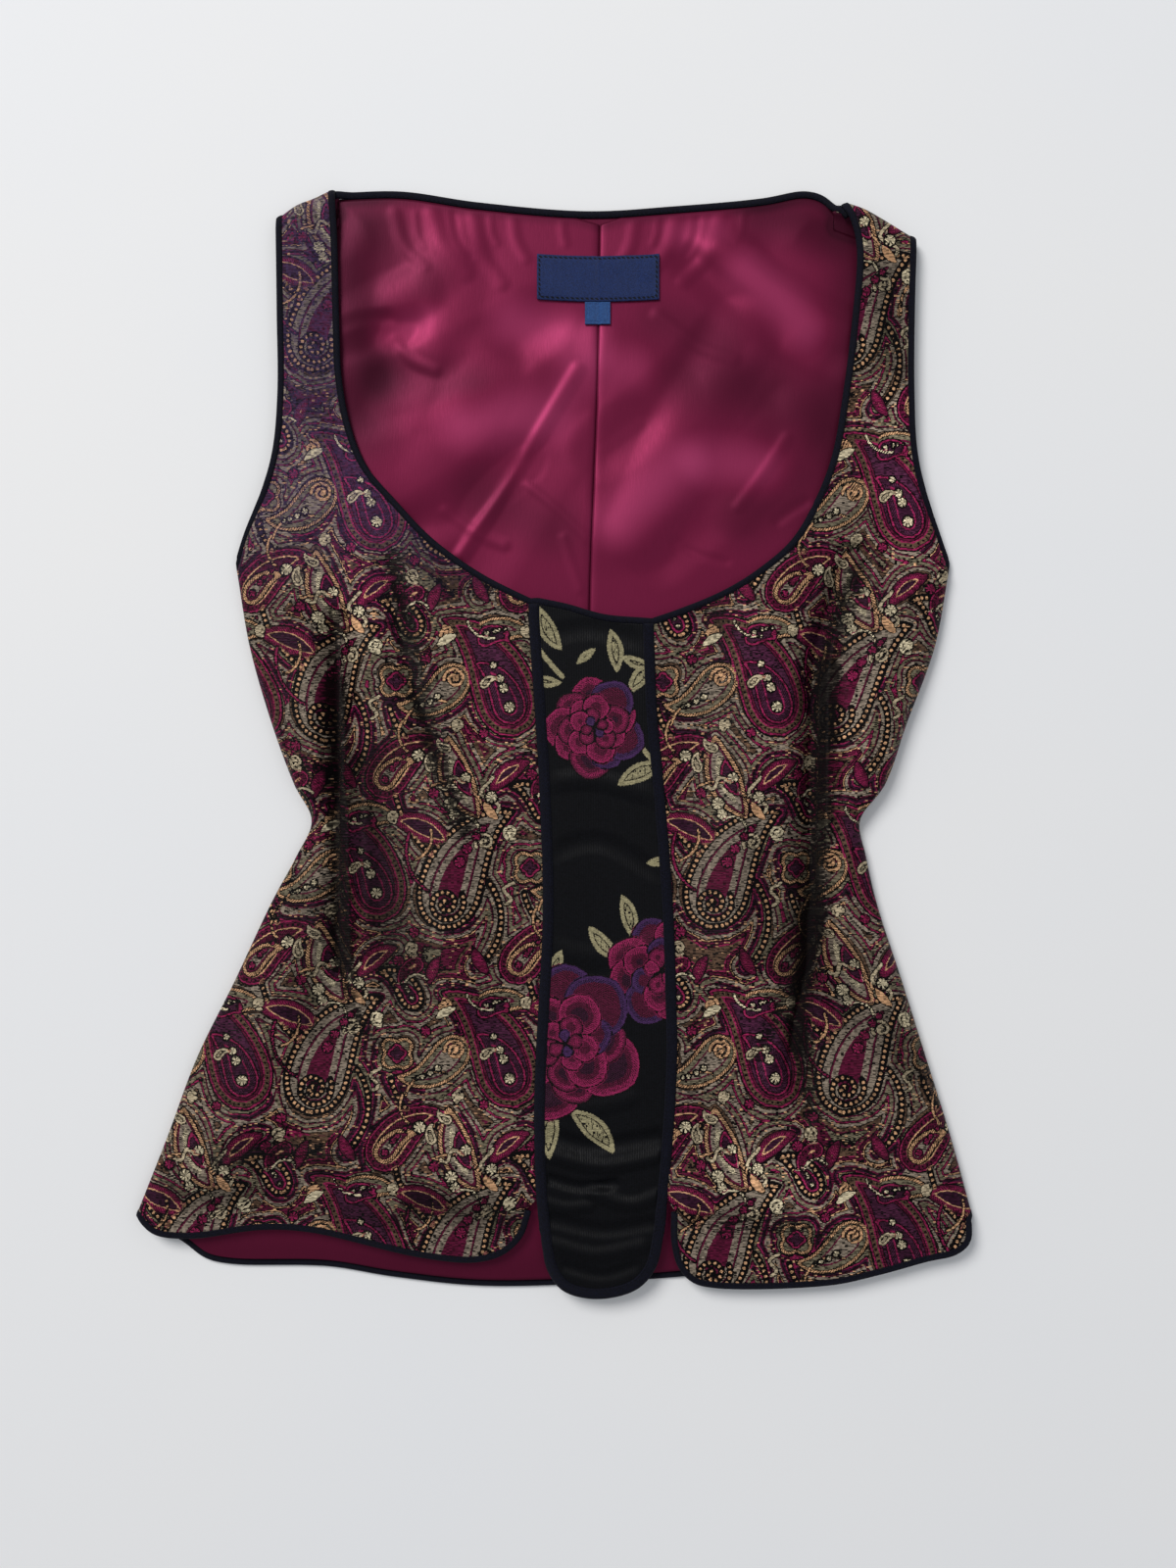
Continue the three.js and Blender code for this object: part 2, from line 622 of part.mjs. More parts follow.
// A woven label on the lining
function label({ x, y, width, height, sag }) {
  const across = evenly(0, 1, 6);
  const upper = evenly(0, height, 2).map((rise) =>
    across.map((u) => {
      const drop = sag * 4 * u * (1 - u);
      return new THREE.Vector3(x + u * width, y + rise - drop, LINING_TOP + SEAM_GAP + LABEL_THICK);
    }),
  );
  return { upper, lower: moved(upper, normals(upper), -LABEL_THICK) };
}

const COLOURS = {
  jacquard: { color: 0x6b4f48, roughness: 0.62, metalness: 0 },
  roses: { color: 0x1a1620, roughness: 0.7, metalness: 0 },
  binding: { color: 0x14141f, roughness: 0.55, metalness: 0 },
  satin: { color: 0x7d2243, roughness: 0.35, metalness: 0 },
  label: { color: 0x1e2f5c, roughness: 0.6, metalness: 0 },
  tab: { color: 0x2a4a80, roughness: 0.6, metalness: 0 },
};
const garment = new THREE.Group();
function add(name, geometry, finish) {
  const mesh = new THREE.Mesh(geometry, new THREE.MeshStandardMaterial(COLOURS[finish]));
  mesh.name = name;
  garment.add(mesh);
}

const backCloth = back();
const panel = centrePanel();
const fronts = { left: front("left"), right: front("right") };
const BACK_LIFT = (BINDING_THICK - CLOTH) / 2 + 0.02; // keeps the back's bindings off the surface
const neckStart = backCloth.neckColumn + 1;

add("back", wall(backCloth), "jacquard");
add("centre_panel", wall(panel), "roses");
for (const side of ["left", "right"]) {
  const cloth = fronts[side];
  const isLeft = side === "left";
  const lastColumn = cloth.upper[0].length - 1;
  const hemRun = isLeft
    ? [...rowEdge(cloth, 0, 0, lastColumn), ...columnEdge(cloth, lastColumn, 1, TURN_ROWS)]
    : [...columnEdge(cloth, 0, TURN_ROWS, 1), ...rowEdge(cloth, 0, 0, lastColumn)];
  const hem = isLeft ? LEFT_HEM : RIGHT_HEM;
  const holeStart = armholes[side][0];
  add(`front_${side}`, wall(cloth), "jacquard");
  add(`lining_${side}`, wall(lining(side, backCloth)), "satin");
  add(
    `hem_binding_front_${side}`,
    binding(hemRun, { clothOn: "left", corners: isLeft ? [hem[0]] : [undefined, hem.at(-1)] }),
    "binding",
  );
  add(
    `armhole_binding_front_${side}`,
    binding(columnEdge(cloth, cloth.outerColumn, ARMPIT, cloth.lastRow), {
      clothOn: isLeft ? "right" : "left",
      corners: [holeStart],
    }),
    "binding",
  );
  const backColumn = isLeft ? 0 : backCloth.lastColumn;
  add(
    `armhole_binding_back_${side}`,
    binding(columnEdge(backCloth, backColumn, ARMPIT + 1, backCloth.lastRow), {
      clothOn: isLeft ? "right" : "left",
      lift: BACK_LIFT,
    }),
    "binding",
  );
}
add(
  "hem_binding_back",
  binding(rowEdge(backCloth, 0, 0, backCloth.lastColumn), {
    clothOn: "left",
    corners: [BACK_HEM[0], BACK_HEM.at(-1)],
    lift: BACK_LIFT,
  }),
  "binding",
);
add(
  "neck_binding_back",
  binding(
    rowEdge(backCloth, backCloth.lastRow, neckStart, backCloth.lastColumn - neckStart),
    { clothOn: "right", lift: BACK_LIFT },
  ),
  "binding",
);
add(
  "neck_binding_front",
  binding(
    [
      ...columnEdge(fronts.left, fronts.left.innerColumn, fronts.left.lastRow, ARMPIT),
      ...rowEdge(panel, PANEL_ROWS, 0, PANEL_COLUMNS),
      ...columnEdge(fronts.right, fronts.right.innerColumn, ARMPIT, fronts.right.lastRow),
    ],
    { clothOn: "right", corners: [LEFT_NECK.at(-1), RIGHT_NECK.at(-1)] },
  ),
  "binding",
);
add(
  "panel_binding",
  binding(
    [
      ...columnEdge(panel, 0, PANEL_ROWS, 1),
      ...rowEdge(panel, 0, 0, PANEL_COLUMNS),
      ...columnEdge(panel, PANEL_COLUMNS, 1, PANEL_ROWS),
    ],
    { clothOn: "left", width: PANEL_BINDING },
  ),
  "binding",
);
add("label_main", wall(label(LABEL)), "label");
add("label_size", wall(label(SIZE_TAB)), "tab");

// The box's bottom centre is the origin
const centre = new THREE.Box3().setFromObject(garment).getCenter(new THREE.Vector3());
for (const mesh of garment.children) mesh.geometry.translate(-centre.x, -centre.y, 0);

export default garment;
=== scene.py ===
"""A lined jacquard top lying flat: its cloth, lining, bindings and labels, and their woven patterns.

Sizes are in millimetres: +X right, +Y towards the shoulders, +Z up.
"""

import json
import math

import bpy
import numpy as np
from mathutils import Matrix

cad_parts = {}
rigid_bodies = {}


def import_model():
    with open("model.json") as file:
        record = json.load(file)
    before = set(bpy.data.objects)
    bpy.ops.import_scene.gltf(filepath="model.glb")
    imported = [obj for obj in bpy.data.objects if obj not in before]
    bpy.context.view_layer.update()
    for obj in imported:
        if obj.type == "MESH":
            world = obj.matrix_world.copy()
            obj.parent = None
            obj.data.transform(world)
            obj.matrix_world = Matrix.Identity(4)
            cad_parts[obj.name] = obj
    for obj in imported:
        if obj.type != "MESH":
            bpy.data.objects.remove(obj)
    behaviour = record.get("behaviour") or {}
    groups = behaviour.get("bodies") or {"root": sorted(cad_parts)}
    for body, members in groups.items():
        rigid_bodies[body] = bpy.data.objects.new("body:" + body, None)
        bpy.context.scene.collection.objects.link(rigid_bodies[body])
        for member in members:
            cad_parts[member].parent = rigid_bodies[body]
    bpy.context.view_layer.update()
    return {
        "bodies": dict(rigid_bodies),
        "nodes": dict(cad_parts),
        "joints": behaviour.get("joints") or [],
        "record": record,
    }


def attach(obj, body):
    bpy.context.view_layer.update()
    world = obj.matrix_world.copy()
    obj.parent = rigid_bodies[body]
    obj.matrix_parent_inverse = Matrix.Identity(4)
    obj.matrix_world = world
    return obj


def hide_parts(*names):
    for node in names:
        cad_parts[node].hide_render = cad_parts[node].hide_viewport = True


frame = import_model()

MM = 0.001

# ---------------------------------------------------------------- sizes

# As in the solids, apart from CENTRE_GAP, BACK_HEM and BACK_NECK, which say how they differ

CLOTH = 1.2
LINING = 1.0
SEAM_GAP = 0.3
FRONT_GAP = 0.35
FRONT_LIFT = 10.0
PANEL_LIFT = 11.0
FOLD_LEVEL = 4.0
ROLL = 10.0
HEM_DROP = 0.8
EDGE_DROP = 0.2
EDGE_DROP_REACH = 28.0
JOIN_REACH = 25.0
BINDING = 4.0
PANEL_BINDING = 6.0
BACK_ARMHOLE_STEP = 2.5
NECK_CORNER = 8.0
LINING_MARGIN = 11.0
LINING_EDGE = 1.0
CENTRE_GAP = -1.2  # the fronts reach this far under the panel's binding
CENTRE_START = -270.0
LINING_TOP = CLOTH + SEAM_GAP + LINING
LOWEST_FRONT = LINING_TOP + FRONT_GAP + CLOTH
BINDING_INSET = BINDING + SEAM_GAP
ORIGIN_SHIFT = np.array([0.08, -0.1])  # from the frame's origin to the tables'

# Rows of the cloth run from the hem to the shoulders. These are the stations that the solids have.
TURN_STEPS = [0.0, 8.0, 16.0, 24.0]
TURN_END = 30.0
SIDE_ROWS = 16
ARM_ROWS = 8
ARMPIT = len(TURN_STEPS) + SIDE_ROWS
LAST_ROW = ARMPIT + ARM_ROWS + 3
LINING_LAST_ROW = LAST_ROW - 3
ROLL_SHARES = 1 - np.cos(np.radians([0.0, 30.0, 60.0]))
BACK_COLUMNS = 12
STRAP_COLUMNS = 2

# Finished edges: (y, left x, right x)
SIDE_FOLDS = np.array([
    (-272, -243, 242.6), (-229, -226, 230.7), (-183, -208.8, 216.4), (-138, -186.6, 202.2),
    (-92, -165, 187.4), (-66, -151, 181.5), (-45, -142, 178), (-24, -152, 192.5),
    (11, -165, 205), (56, -178, 221.5), (100, -185.5, 229.8),
])
ARMHOLES = np.array([
    (108, -186, 230), (124, -182, 225), (147, -171.5, 216.5), (170, -165, 211.5),
    (204, -162, 209.8), (250, -162.4, 210), (296, -163, 211.3), (308, -163.2, np.nan),
])
CENTRE_EDGES = np.array([
    (-281, -9.5, 64.5), (-270, -10.6, 65.5), (-260, -11.6, 66.5), (-217, -12.7, 70),
    (-180, -11.6, 71.6), (-149, -9.9, 71.1), (-98, -7.6, 69.4), (-28, -9.5, 64.2),
    (15, -12, 60.2), (69, -15.6, 58), (80.5, -15.9, np.nan),
])
# Finished edges as points (x, y) from left to right, or upwards
LEFT_HEM = [
    (-244.4, -276), (-233, -286), (-212, -288.6), (-171, -283.5), (-143, -284.7),
    (-78, -299.5), (-46, -302.3), (-29, -297.5), (-18, -287), (-12.7, -272),
]
RIGHT_HEM = [
    (66.5, -272), (66.8, -290), (70.5, -304), (79, -313.5), (92, -317.1), (160, -315.6),
    (188, -309.7), (216, -302), (234, -297.5), (242, -290), (243.2, -276),
]
# The back's hem and neckline lie about 3 mm further out than in the solids, as the photo shows them
BACK_HEM = [
    (-244.4, -276), (-233, -283.5), (-218, -292.8), (-205, -302.2), (-190, -305.6),
    (-133, -307), (-94, -313.2), (-38, -318.6), (66, -313.8), (130, -307), (188, -300),
    (232, -288), (243.2, -276),
]
HEM_TURN = {"left": -29.0, "right": 74.0}
TONGUE = [
    (-9.5, -281), (-5, -305), (4, -317), (19, -321.8), (36, -320.8), (50, -315), (59.5, -303),
    (64.5, -281),
]
LEFT_NECK = [
    (-16.1, 85), (-34, 94.5), (-52.6, 106), (-72, 121), (-91, 141), (-108, 161), (-117, 182),
    (-122.8, 212), (-124.2, 243), (-125.6, 296), (-127.3, 322.5),
]
MIDDLE_NECK = [(-16.1, 85), (4, 81.5), (30, 75.5), (58, 73.5)]
RIGHT_NECK = [
    (58, 73.5), (73, 79), (99, 90.4), (119, 103), (137, 119), (150, 141), (160, 167), (167, 207),
    (171.4, 243), (174.5, 286), (171.5, 302), (166, 313.5),
]
BACK_NECK = [
    (-127.3, 323), (-90, 323.8), (-46, 317.6), (19, 312.3), (70, 315.2), (121, 319.8),
    (146, 324), (157, 321.4), (166, 314.3),
]
SHOULDERS = {
    "left": [(-163.2, 306), (-152, 312.6), (-140, 317), (-127.3, 322.5)],
    "right": [(166, 313.5), (178, 310), (190, 304.5), (211.3, 294)],
}
BACK_SEAM = [(18, -307.6), (20, 79), (24.5, 208), (26, 303.6)]

# The folds of the solids: half width, rise and path
FRONT_FOLDS = [
    (15, -5.5, [(-126, 66), (-123, -126)]),
    (18, -3, [(-101, 100), (-71, 4)]),
    (30, 4.5, [(-153, 80), (-142, -20)]),
    (38, 6.5, [(-100, 45), (-62, -40), (-60, -140)]),
    (34, 4.5, [(-160, -130), (-190, -240)]),
    (26, 4, [(-120, -235), (-50, -250)]),
    (16, -6.5, [(172, 105), (155, 45), (153, -130), (140, -190)]),
    (26, 4.5, [(203, 75), (184, -10)]),
    (38, 7.5, [(118, 60), (112, -30), (112, -120)]),
    (30, 4.5, [(180, -130), (208, -250)]),
    (22, 4.5, [(80, -258), (150, -262)]),
]
LINING_FOLDS = [
    (24, 2, [(-40, 222), (-54, 180), (-72, 150)]),
    (22, 1, [(-90, 203), (-66, 198), (-36, 210)]),
    (20, 1.4, [(-88, 258), (-76, 268), (-62, 286)]),
    (24, 2.8, [(110, 240), (74, 180), (50, 122)]),
    (20, 2.4, [(100, 288), (122, 262), (142, 242)]),
    (22, 2.2, [(140, 190), (104, 140)]),
]
LABEL = {"x": -10.4, "y": 258.9, "width": 71.2, "height": 26.4, "sag": 1.2}
SIZE_TAB = {"x": 17.5, "y": 244.3, "width": 14.8, "height": 13.0, "sag": 0.0}
SEAM_GROOVE, SEAM_HALF_WIDTH = 0.5, 1.6
LABEL_THICK = 0.8
LABEL_RELIEF = 0.25
LABEL_POINTS = 73, 29

# ---------------------------------------------------------------- finer creases

CALM_REACH = 12.0  # finer creases fade out this near to a front's edges

# Pinched valleys of the darts: half width, depth and path. Their sides meet in a sharp line.
DART_VALLEYS = [
    (8.0, -3.4, [(-127, 70), (-125.5, 20), (-125, -60), (-123, -128)]),
    (6.0, -1.8, [(-101, 104), (-92, 74), (-84, 40), (-70, 2)]),
    (8.5, -4.0, [(176, 112), (156, 54), (153, -31), (153, -138), (142, -168), (145, -217)]),
    (12.0, -2.4, [(151, -104), (150, -160)]),
]
FRONT_CREASES = [
    (11, 1.4, [(-139, 58), (-138, -30), (-136, -110)]),
    (10, 1.2, [(-112, 52), (-111, -40), (-110, -120)]),
    (9, 1.1, [(-88, 96), (-72, 44), (-60, 0)]),
    (8, -1.2, [(-122, -128), (-112, -158), (-98, -182)]),
    (9, 1.0, [(-108, -140), (-92, -176), (-84, -214)]),
    (12, 1.2, [(-197, -222), (-150, -217), (-110, -224)]),
    (7, -0.9, [(-192, -236), (-150, -231), (-104, -240)]),
    (9, 0.9, [(-178, 40), (-160, 22), (-146, 14)]),
    (8, -0.8, [(-166, -36), (-150, -44), (-138, -48)]),
    (8, 0.8, [(-150, 128), (-142, 158), (-146, 196)]),
    (7, -0.7, [(-134, 200), (-146, 232), (-152, 262)]),
    (10, 1.4, [(168, 60), (169, -20), (169, -96)]),
    (11, 1.6, [(138, 62), (136, -24), (134, -112)]),
    (10, 1.3, [(166, -128), (162, -172), (166, -214)]),
    (8, -1.2, [(132, -152), (118, -182), (112, -212)]),
    (9, 1.1, [(124, -140), (104, -170), (96, -206)]),
    (11, 1.8, [(70, -266), (106, -270), (146, -286)]),
    (5, -1.4, [(74, -281), (92, -277), (112, -277)]),
    (9, 1.0, [(176, -262), (206, -258), (230, -266)]),
    (8, 0.9, [(214, 34), (198, 22), (186, 16)]),
    (8, -0.8, [(196, -30), (182, -44), (170, -50)]),
    (8, 0.8, [(186, 128), (190, 160), (186, 200)]),
    (7, -0.7, [(188, 210), (196, 244), (198, 270)]),
]
# Where the folds close over the pattern: painted shade in their valleys, black as the dark warp that
# shows there. Half width, strength and path.
# Its ragged edge needs the valleys wider by VALLEY_WIDENING.
VALLEY_WIDENING = 1.35
DARK_VALLEYS = [
    (8.0, 0.9, [(-128, 34), (-127, -10), (-125, -60), (-124, -128)]),
    (6.0, 0.6, [(-124, -110), (-116, -150), (-104, -176)]),
    (8.0, 0.8, [(-94, 104), (-86, 66), (-78, 24), (-66, -14), (-52, -50)]),
    (7.0, 0.55, [(-127, 74), (-127, 30)]),
    (7.5, 0.75, [(176, 100), (164, 66), (158, 30)]),
    (8.5, 1.0, [(158, 40), (156, -10), (154, -60), (150, -108)]),
    (7.5, 0.95, [(151, -100), (144, -140), (142, -176)]),
    (7.0, 0.6, [(142, -170), (146, -190), (150, -214)]),
    (6.0, 0.5, [(150, -120), (132, -152), (118, -182)]),
    (7.0, 0.45, [(96, -281), (124, -279), (160, -284)]),
    (6.0, 0.4, [(-196, -240), (-150, -236), (-110, -242)]),
]
# Stitched seams in the fronts: the neckline darts and the seam across the right shoulder
SEAM_LINES = [
    (1.6, -0.7, [(-105, 161), (-153.5, 105)]),
    (1.6, -0.7, [(148, 141), (181, 111)]),
    (1.4, -0.6, [(170, 306), (190, 297), (210, 287)]),
]
# The lining stands up by LINING_FILL away from its edges. Its folds end below LINING_HIGHEST, and
# where they would go under its edges' level they keep a share of their depth.
LINING_FILL = 1.6
LINING_HIGHEST = 4.6
HOLLOW_SHARE = 0.3
LINING_SWELLS = [
    (34, 2.4, [(-136, 300), (-136, 240), (-120, 180)]),
    (26, -1.6, [(-92, 300), (-96, 262), (-90, 220)]),
    (34, 1.4, [(-20, 262), (-66, 214), (-104, 148)]),
    (30, -1.6, [(8, 200), (-24, 150), (-50, 106)]),
    (30, 1.6, [(146, 300), (160, 240), (156, 180)]),
    (30, 1.7, [(-101, 156), (-39, 186), (5, 218)]),
    (24, -1.8, [(-108, 196), (-60, 216), (-10, 246)]),
    (20, -1.5, [(-84, 124), (-50, 146), (-22, 166)]),
    (32, 1.6, [(31, 126), (67, 158), (103, 192)]),
    (22, -1.7, [(28, 172), (62, 196), (98, 234)]),
    (20, -1.4, [(62, 108), (96, 138), (128, 172)]),
    (22, 1.6, [(31, 232), (50, 218), (66, 204)]),
    (18, 1.8, [(-122, 242), (-95, 260), (-80, 265)]),
    (14, -1.3, [(-124, 232), (-102, 240), (-84, 244)]),
    (16, 2.2, [(87, 300), (133, 264), (169, 242)]),
    (16, -1.6, [(80, 280), (118, 248), (158, 222)]),
    (20, 1.2, [(-70, 230), (-58, 262), (-52, 300)]),
    (22, -1.2, [(126, 284), (146, 272), (164, 262)]),
    (16, 1.2, [(122, 222), (144, 206), (164, 196)]),
]
LINING_CREASES = [
    (6, 1.5, [(13, 218), (-20, 164), (-55, 110)]),
    (4, 0.6, [(-17, 152), (0, 138), (19, 119)]),
    (6, 1.1, [(96, 290), (134, 262), (170, 241)]),
    (5, 0.9, [(107, 138), (122, 158), (135, 178)]),
    (5, -0.7, [(146, 141), (138, 136), (130, 130)]),
    (6, -0.9, [(-124, 244), (-112, 248), (-98, 249)]),
    (4, 0.5, [(5, 120), (10, 104), (15, 90)]),
    (5, 0.7, [(-94, 236), (-84, 224), (-70, 218)]),
    (5, 0.6, [(-64, 136), (-44, 122), (-30, 116)]),
    (6, 0.7, [(60, 250), (84, 232), (104, 224)]),
    (4, -0.5, [(70, 118), (84, 110), (100, 106)]),
]
EDGE_SHADE = 0.35  # of the satin beside the bindings
# Soft light and shade in the satin: half width, darkness (negative is lighter) and path
LINING_TONES = [
    (40, 0.6, [(-128, 306), (-120, 262), (-116, 190)]),
    (26, 0.35, [(-98, 306), (-88, 290), (-78, 274)]),
    (24, 0.35, [(-96, 214), (-76, 211), (-50, 208)]),
    (26, 0.3, [(-44, 146), (-24, 136), (0, 126)]),
    (34, 0.42, [(84, 214), (116, 208), (140, 196)]),
    (26, 0.45, [(122, 310), (142, 306), (158, 300)]),
    (20, 0.25, [(60, 247), (78, 244), (98, 240)]),
    (34, 0.5, [(184, 300), (182, 240), (172, 184)]),
    (30, 0.3, [(112, 134), (134, 144), (156, 160)]),
    (46, 0.45, [(-240, -300), (-100, -306), (0, -312), (120, -306), (240, -292)]),
    (16, -0.35, [(-98, 240), (-88, 245), (-76, 247)]),
    (25, -0.6, [(-52, 186), (-28, 190), (-2, 191)]),
    (22, -0.55, [(-24, 246), (0, 240), (20, 232)]),
    (20, -0.4, [(12, 213), (28, 216), (44, 219)]),
    (24, -0.6, [(36, 130), (54, 146), (72, 162)]),
    (22, -0.5, [(88, 165), (106, 163), (122, 159)]),
    (16, -0.35, [(74, 298), (84, 300), (94, 300)]),
    (20, -0.55, [(112, 276), (130, 260), (146, 241)]),
]
# The same on the fronts
FRONT_TONES = [
    (26, 0.4, [(-140, 296), (-139, 245), (-137, 193)]),
    (16, 0.45, [(-80, 115), (-68, 102), (-54, 88)]),
    (30, 0.6, [(-112, -24), (-103, -81), (-89, -132)]),
    (22, 0.4, [(-135, -98), (-138, -130), (-140, -160)]),
    (16, 0.4, [(-192, -240), (-164, -238), (-135, -243)]),
    (16, 0.6, [(-80, -265), (-52, -272), (-26, -275)]),
    (20, 0.35, [(145, -103), (143, -150), (142, -195)]),
    (18, 0.35, [(167, -122), (168, -141), (167, -160)]),
    (20, 0.45, [(190, -164), (199, -176), (207, -189)]),
    (14, 0.4, [(84, 86), (90, 77), (97, 67)]),
    (20, 0.4, [(190, 273), (195, 244), (199, 216)]),
    (18, 0.3, [(116, -60), (116, -94), (116, -128)]),
    (14, 0.5, [(-222, -262), (-150, -262), (-90, -274)]),
    (14, 0.35, [(-128, 20), (-120, -10), (-92, 0)]),
    (24, 0.45, [(163, 84), (150, 0), (143, -70), (142, -130)]),
    (22, -0.45, [(-115, 153), (-114, 116), (-112, 79)]),
    (28, -0.7, [(196, 190), (200, 150), (204, 113)]),
    (22, -0.35, [(113, 68), (118, 34), (122, -1)]),
    (14, -0.4, [(170, 39), (172, 8), (173, -24)]),
    (22, -0.5, [(116, -240), (136, -256), (158, -272)]),
    (20, -0.45, [(113, -142), (116, -166), (119, -188)]),
    (18, -0.35, [(-38, 62), (-36, 25), (-35, -12)]),
    (18, -0.3, [(-66, -214), (-48, -216), (-30, -222)]),
    (14, -0.35, [(-168, -262), (-140, -262), (-96, -266)]),
]
# Gathers under the back neckline: half width, rise, x at the top, lean and length
GATHERS = [
    (5.5, 0.6, -94, 18, 26), (3.0, 0.3, -82, 5, 14), (7.0, 0.7, -72, 20, 30), (3.5, -0.4, -59, 10, 20),
    (6.0, 0.6, -48, 17, 36), (3.0, 0.3, -38, 4, 12), (5.0, 0.45, -25, 8, 21), (4.0, 0.35, 4, 2, 12),
    (5.5, 0.5, 47, -10, 26), (3.0, 0.3, 60, -3, 12), (6.5, 0.65, 71, -17, 30), (3.5, -0.4, 84, -8, 18),
    (6.0, 0.55, 97, -22, 34), (3.0, 0.3, 110, -5, 12),
]
NECK_GATHERS = [
    (half, rise, [(x, 310), (x + 0.3 * lean, 304 - length / 2), (x + lean, 304 - length)])
    for half, rise, x, lean, length in GATHERS
]
PANEL_CREASES = [
    (7, -2.0, [(-6, -226), (20, -233), (60, -228)]),
    (6, 2.0, [(-4, -238), (26, -245), (62, -239)]),
    (5, -1.9, [(-8, -251), (16, -257), (34, -255)]),
    (6, 1.9, [(22, -260), (44, -267), (62, -261)]),
    (5, 1.3, [(-8, -265), (6, -269), (20, -268)]),
    (6, -1.6, [(-2, -276), (28, -282), (56, -278)]),
    (6, 1.6, [(-2, -290), (24, -296), (50, -291)]),
    (5, -1.3, [(6, -303), (28, -308), (46, -303)]),
    (7, 0.9, [(-6, -206), (16, -212), (44, -206)]),
    (8, 1.1, [(-8, -24), (20, -21), (58, -31)]),
    (8, -1.1, [(-8, -66), (24, -57), (60, -75)]),
    (9, 0.9, [(-4, -118), (24, -124), (62, -116)]),
    (8, -0.8, [(-10, 60), (20, 66), (54, 58)]),
]

# How finely each piece is divided
COARSE = 1.0
FRONT_CELL = 1.5 * COARSE
BACK_CELL = 2.1 * COARSE
LINING_CELL = 1.7 * COARSE
PANEL_CELL = 0.8 * COARSE
BINDING_CELL = 2.0 * COARSE
# Rough sizes, which only give the number of cells
FRONT_WIDTH, BACK_COLUMN, LINING_WIDTH = 200, 35, 190
PANEL_LENGTH, PANEL_WIDTH = 400, 70
NECK_STEPS, STRAP_STEPS = 160, 30

# ---------------------------------------------------------------- curves in the plane


def rounded(points, steps=24):
    """A dense path along a centripetal Catmull-Rom curve through the points."""
    p = np.asarray(points, float)
    ends = np.vstack([2 * p[0] - p[1], p, 2 * p[-1] - p[-2]])
    t = np.linspace(0, 1, steps, endpoint=False)[:, None]
    spans = []
    for a, b, c, d in zip(ends, ends[1:], ends[2:], ends[3:]):
        ab, bc, cd = (max(math.dist(m, n), 1e-6) ** 0.5 for m, n in ((a, b), (b, c), (c, d)))
        start = ((b - a) / ab - (c - a) / (ab + bc) + (c - b) / bc) * bc
        end = ((c - b) / bc - (d - b) / (bc + cd) + (d - c) / cd) * bc
        square, cube = 3 * (c - b) - 2 * start - end, 2 * (b - c) + start + end
        spans.append(b + start * t + square * t**2 + cube * t**3)
    return np.vstack([*spans, p[-1:]])


def running(path):
    """Length of a path up to each of its points."""
    return np.concatenate([[0.0], np.cumsum(np.linalg.norm(np.diff(path, axis=0), axis=1))])


def along(path, distances):
    """Points of a path at distances from its start."""
    sums = running(path)
    return np.stack([np.interp(distances, sums, path[:, k]) for k in range(path.shape[1])], -1)


def even(path, count):
    """A path divided into a number of equal steps."""
    return along(path, np.linspace(0, running(path)[-1], count + 1))


def inset(path, distance):
    """A path moved to its left, by one distance or by one for each point."""
    run = np.gradient(path, axis=0)
    left = np.stack([-run[:, 1], run[:, 0]], -1)
    return path + distance * left / np.linalg.norm(left, axis=1, keepdims=True)


def fitted(path, start, end):
    """A path stretched so that it runs between two points."""
    t = np.linspace(0, 1, len(path))[:, None]
    return path + (start - path[0]) * (1 - t) + (end - path[-1]) * t


def smooth(t):
    """A share of 0 to 1 that starts and ends gently."""
    t = np.clip(t, 0, 1)
    return t * t * (3 - 2 * t)


def quarter_circle(t):
    """Height of a quarter circle over a share of its reach."""
    return np.sqrt(np.maximum(1 - (1 - np.clip(t, 0, 1)) ** 2, 0))


def column(table, side):
    """The left or right edge of a table, as points."""
    xs = table[:, 1 if side == "left" else 2]
    kept = ~np.isnan(xs)
    return np.stack([xs[kept], table[kept, 0]], -1)


def even_count(length, cell):
    """An even number of cells for a length."""
    return int(np.ceil(length / cell / 2) * 2)


def shares(path):
    """Length of a path up to each of its points, as a share of the whole."""
    sums = running(path)
    return sums / sums[-1]


def patch(left, right, bottom, top, stations):
    """A grid of points between four edges. Stations are shares of each row's width, row by column."""
    heights = [shares(edge) for edge in (left, right)]
    u = stations
    v = heights[0][:, None] * (1 - u) + heights[1][:, None] * u
    grid = left[:, None] * (1 - u)[..., None] + right[:, None] * u[..., None]
    for edge, weight in ((bottom, (1 - v) ** 2), (top, v**2)):
        sums = shares(edge)
        for k in range(2):
            bend = np.interp(u, sums, edge[:, k]) - (edge[0, k] * (1 - u) + edge[-1, k] * u)
            grid[..., k] += bend * weight
    return grid


def distance_to(path, points):
    """Distance of points from a path of a few corners."""
    best = np.full(points.shape[:-1], 1e9)
    for a, b in zip(path, path[1:]):
        run = b - a
        t = np.clip(((points - a) @ run) / (run @ run), 0, 1)
        best = np.minimum(best, np.linalg.norm(points - a - t[..., None] * run, axis=-1))
    return best


def fold_height(folds, points, sharp=False, corners_only=False):
    """Height that folds add: each rises along its path and fades out at half its width."""
    height = np.zeros(points.shape[:-1])
    for half, rise, path in folds:
        line = np.asarray(path, float) if corners_only else even(rounded(path), 12)
        near = np.all((points > line.min(0) - half) & (points < line.max(0) + half), axis=-1)
        t = np.minimum(distance_to(line, points[near]) / half, 1)
        height[near] += rise * ((1 - t) ** 1.6 if sharp else (1 - t * t) ** 2)
    return height


# ---------------------------------------------------------------- edges and rows that the pieces share


def side_stops(length):
    """Where the solids' rows cross a side edge, as lengths from the hem."""
    return np.concatenate([TURN_STEPS, np.linspace(TURN_END, length, SIDE_ROWS + 1)])


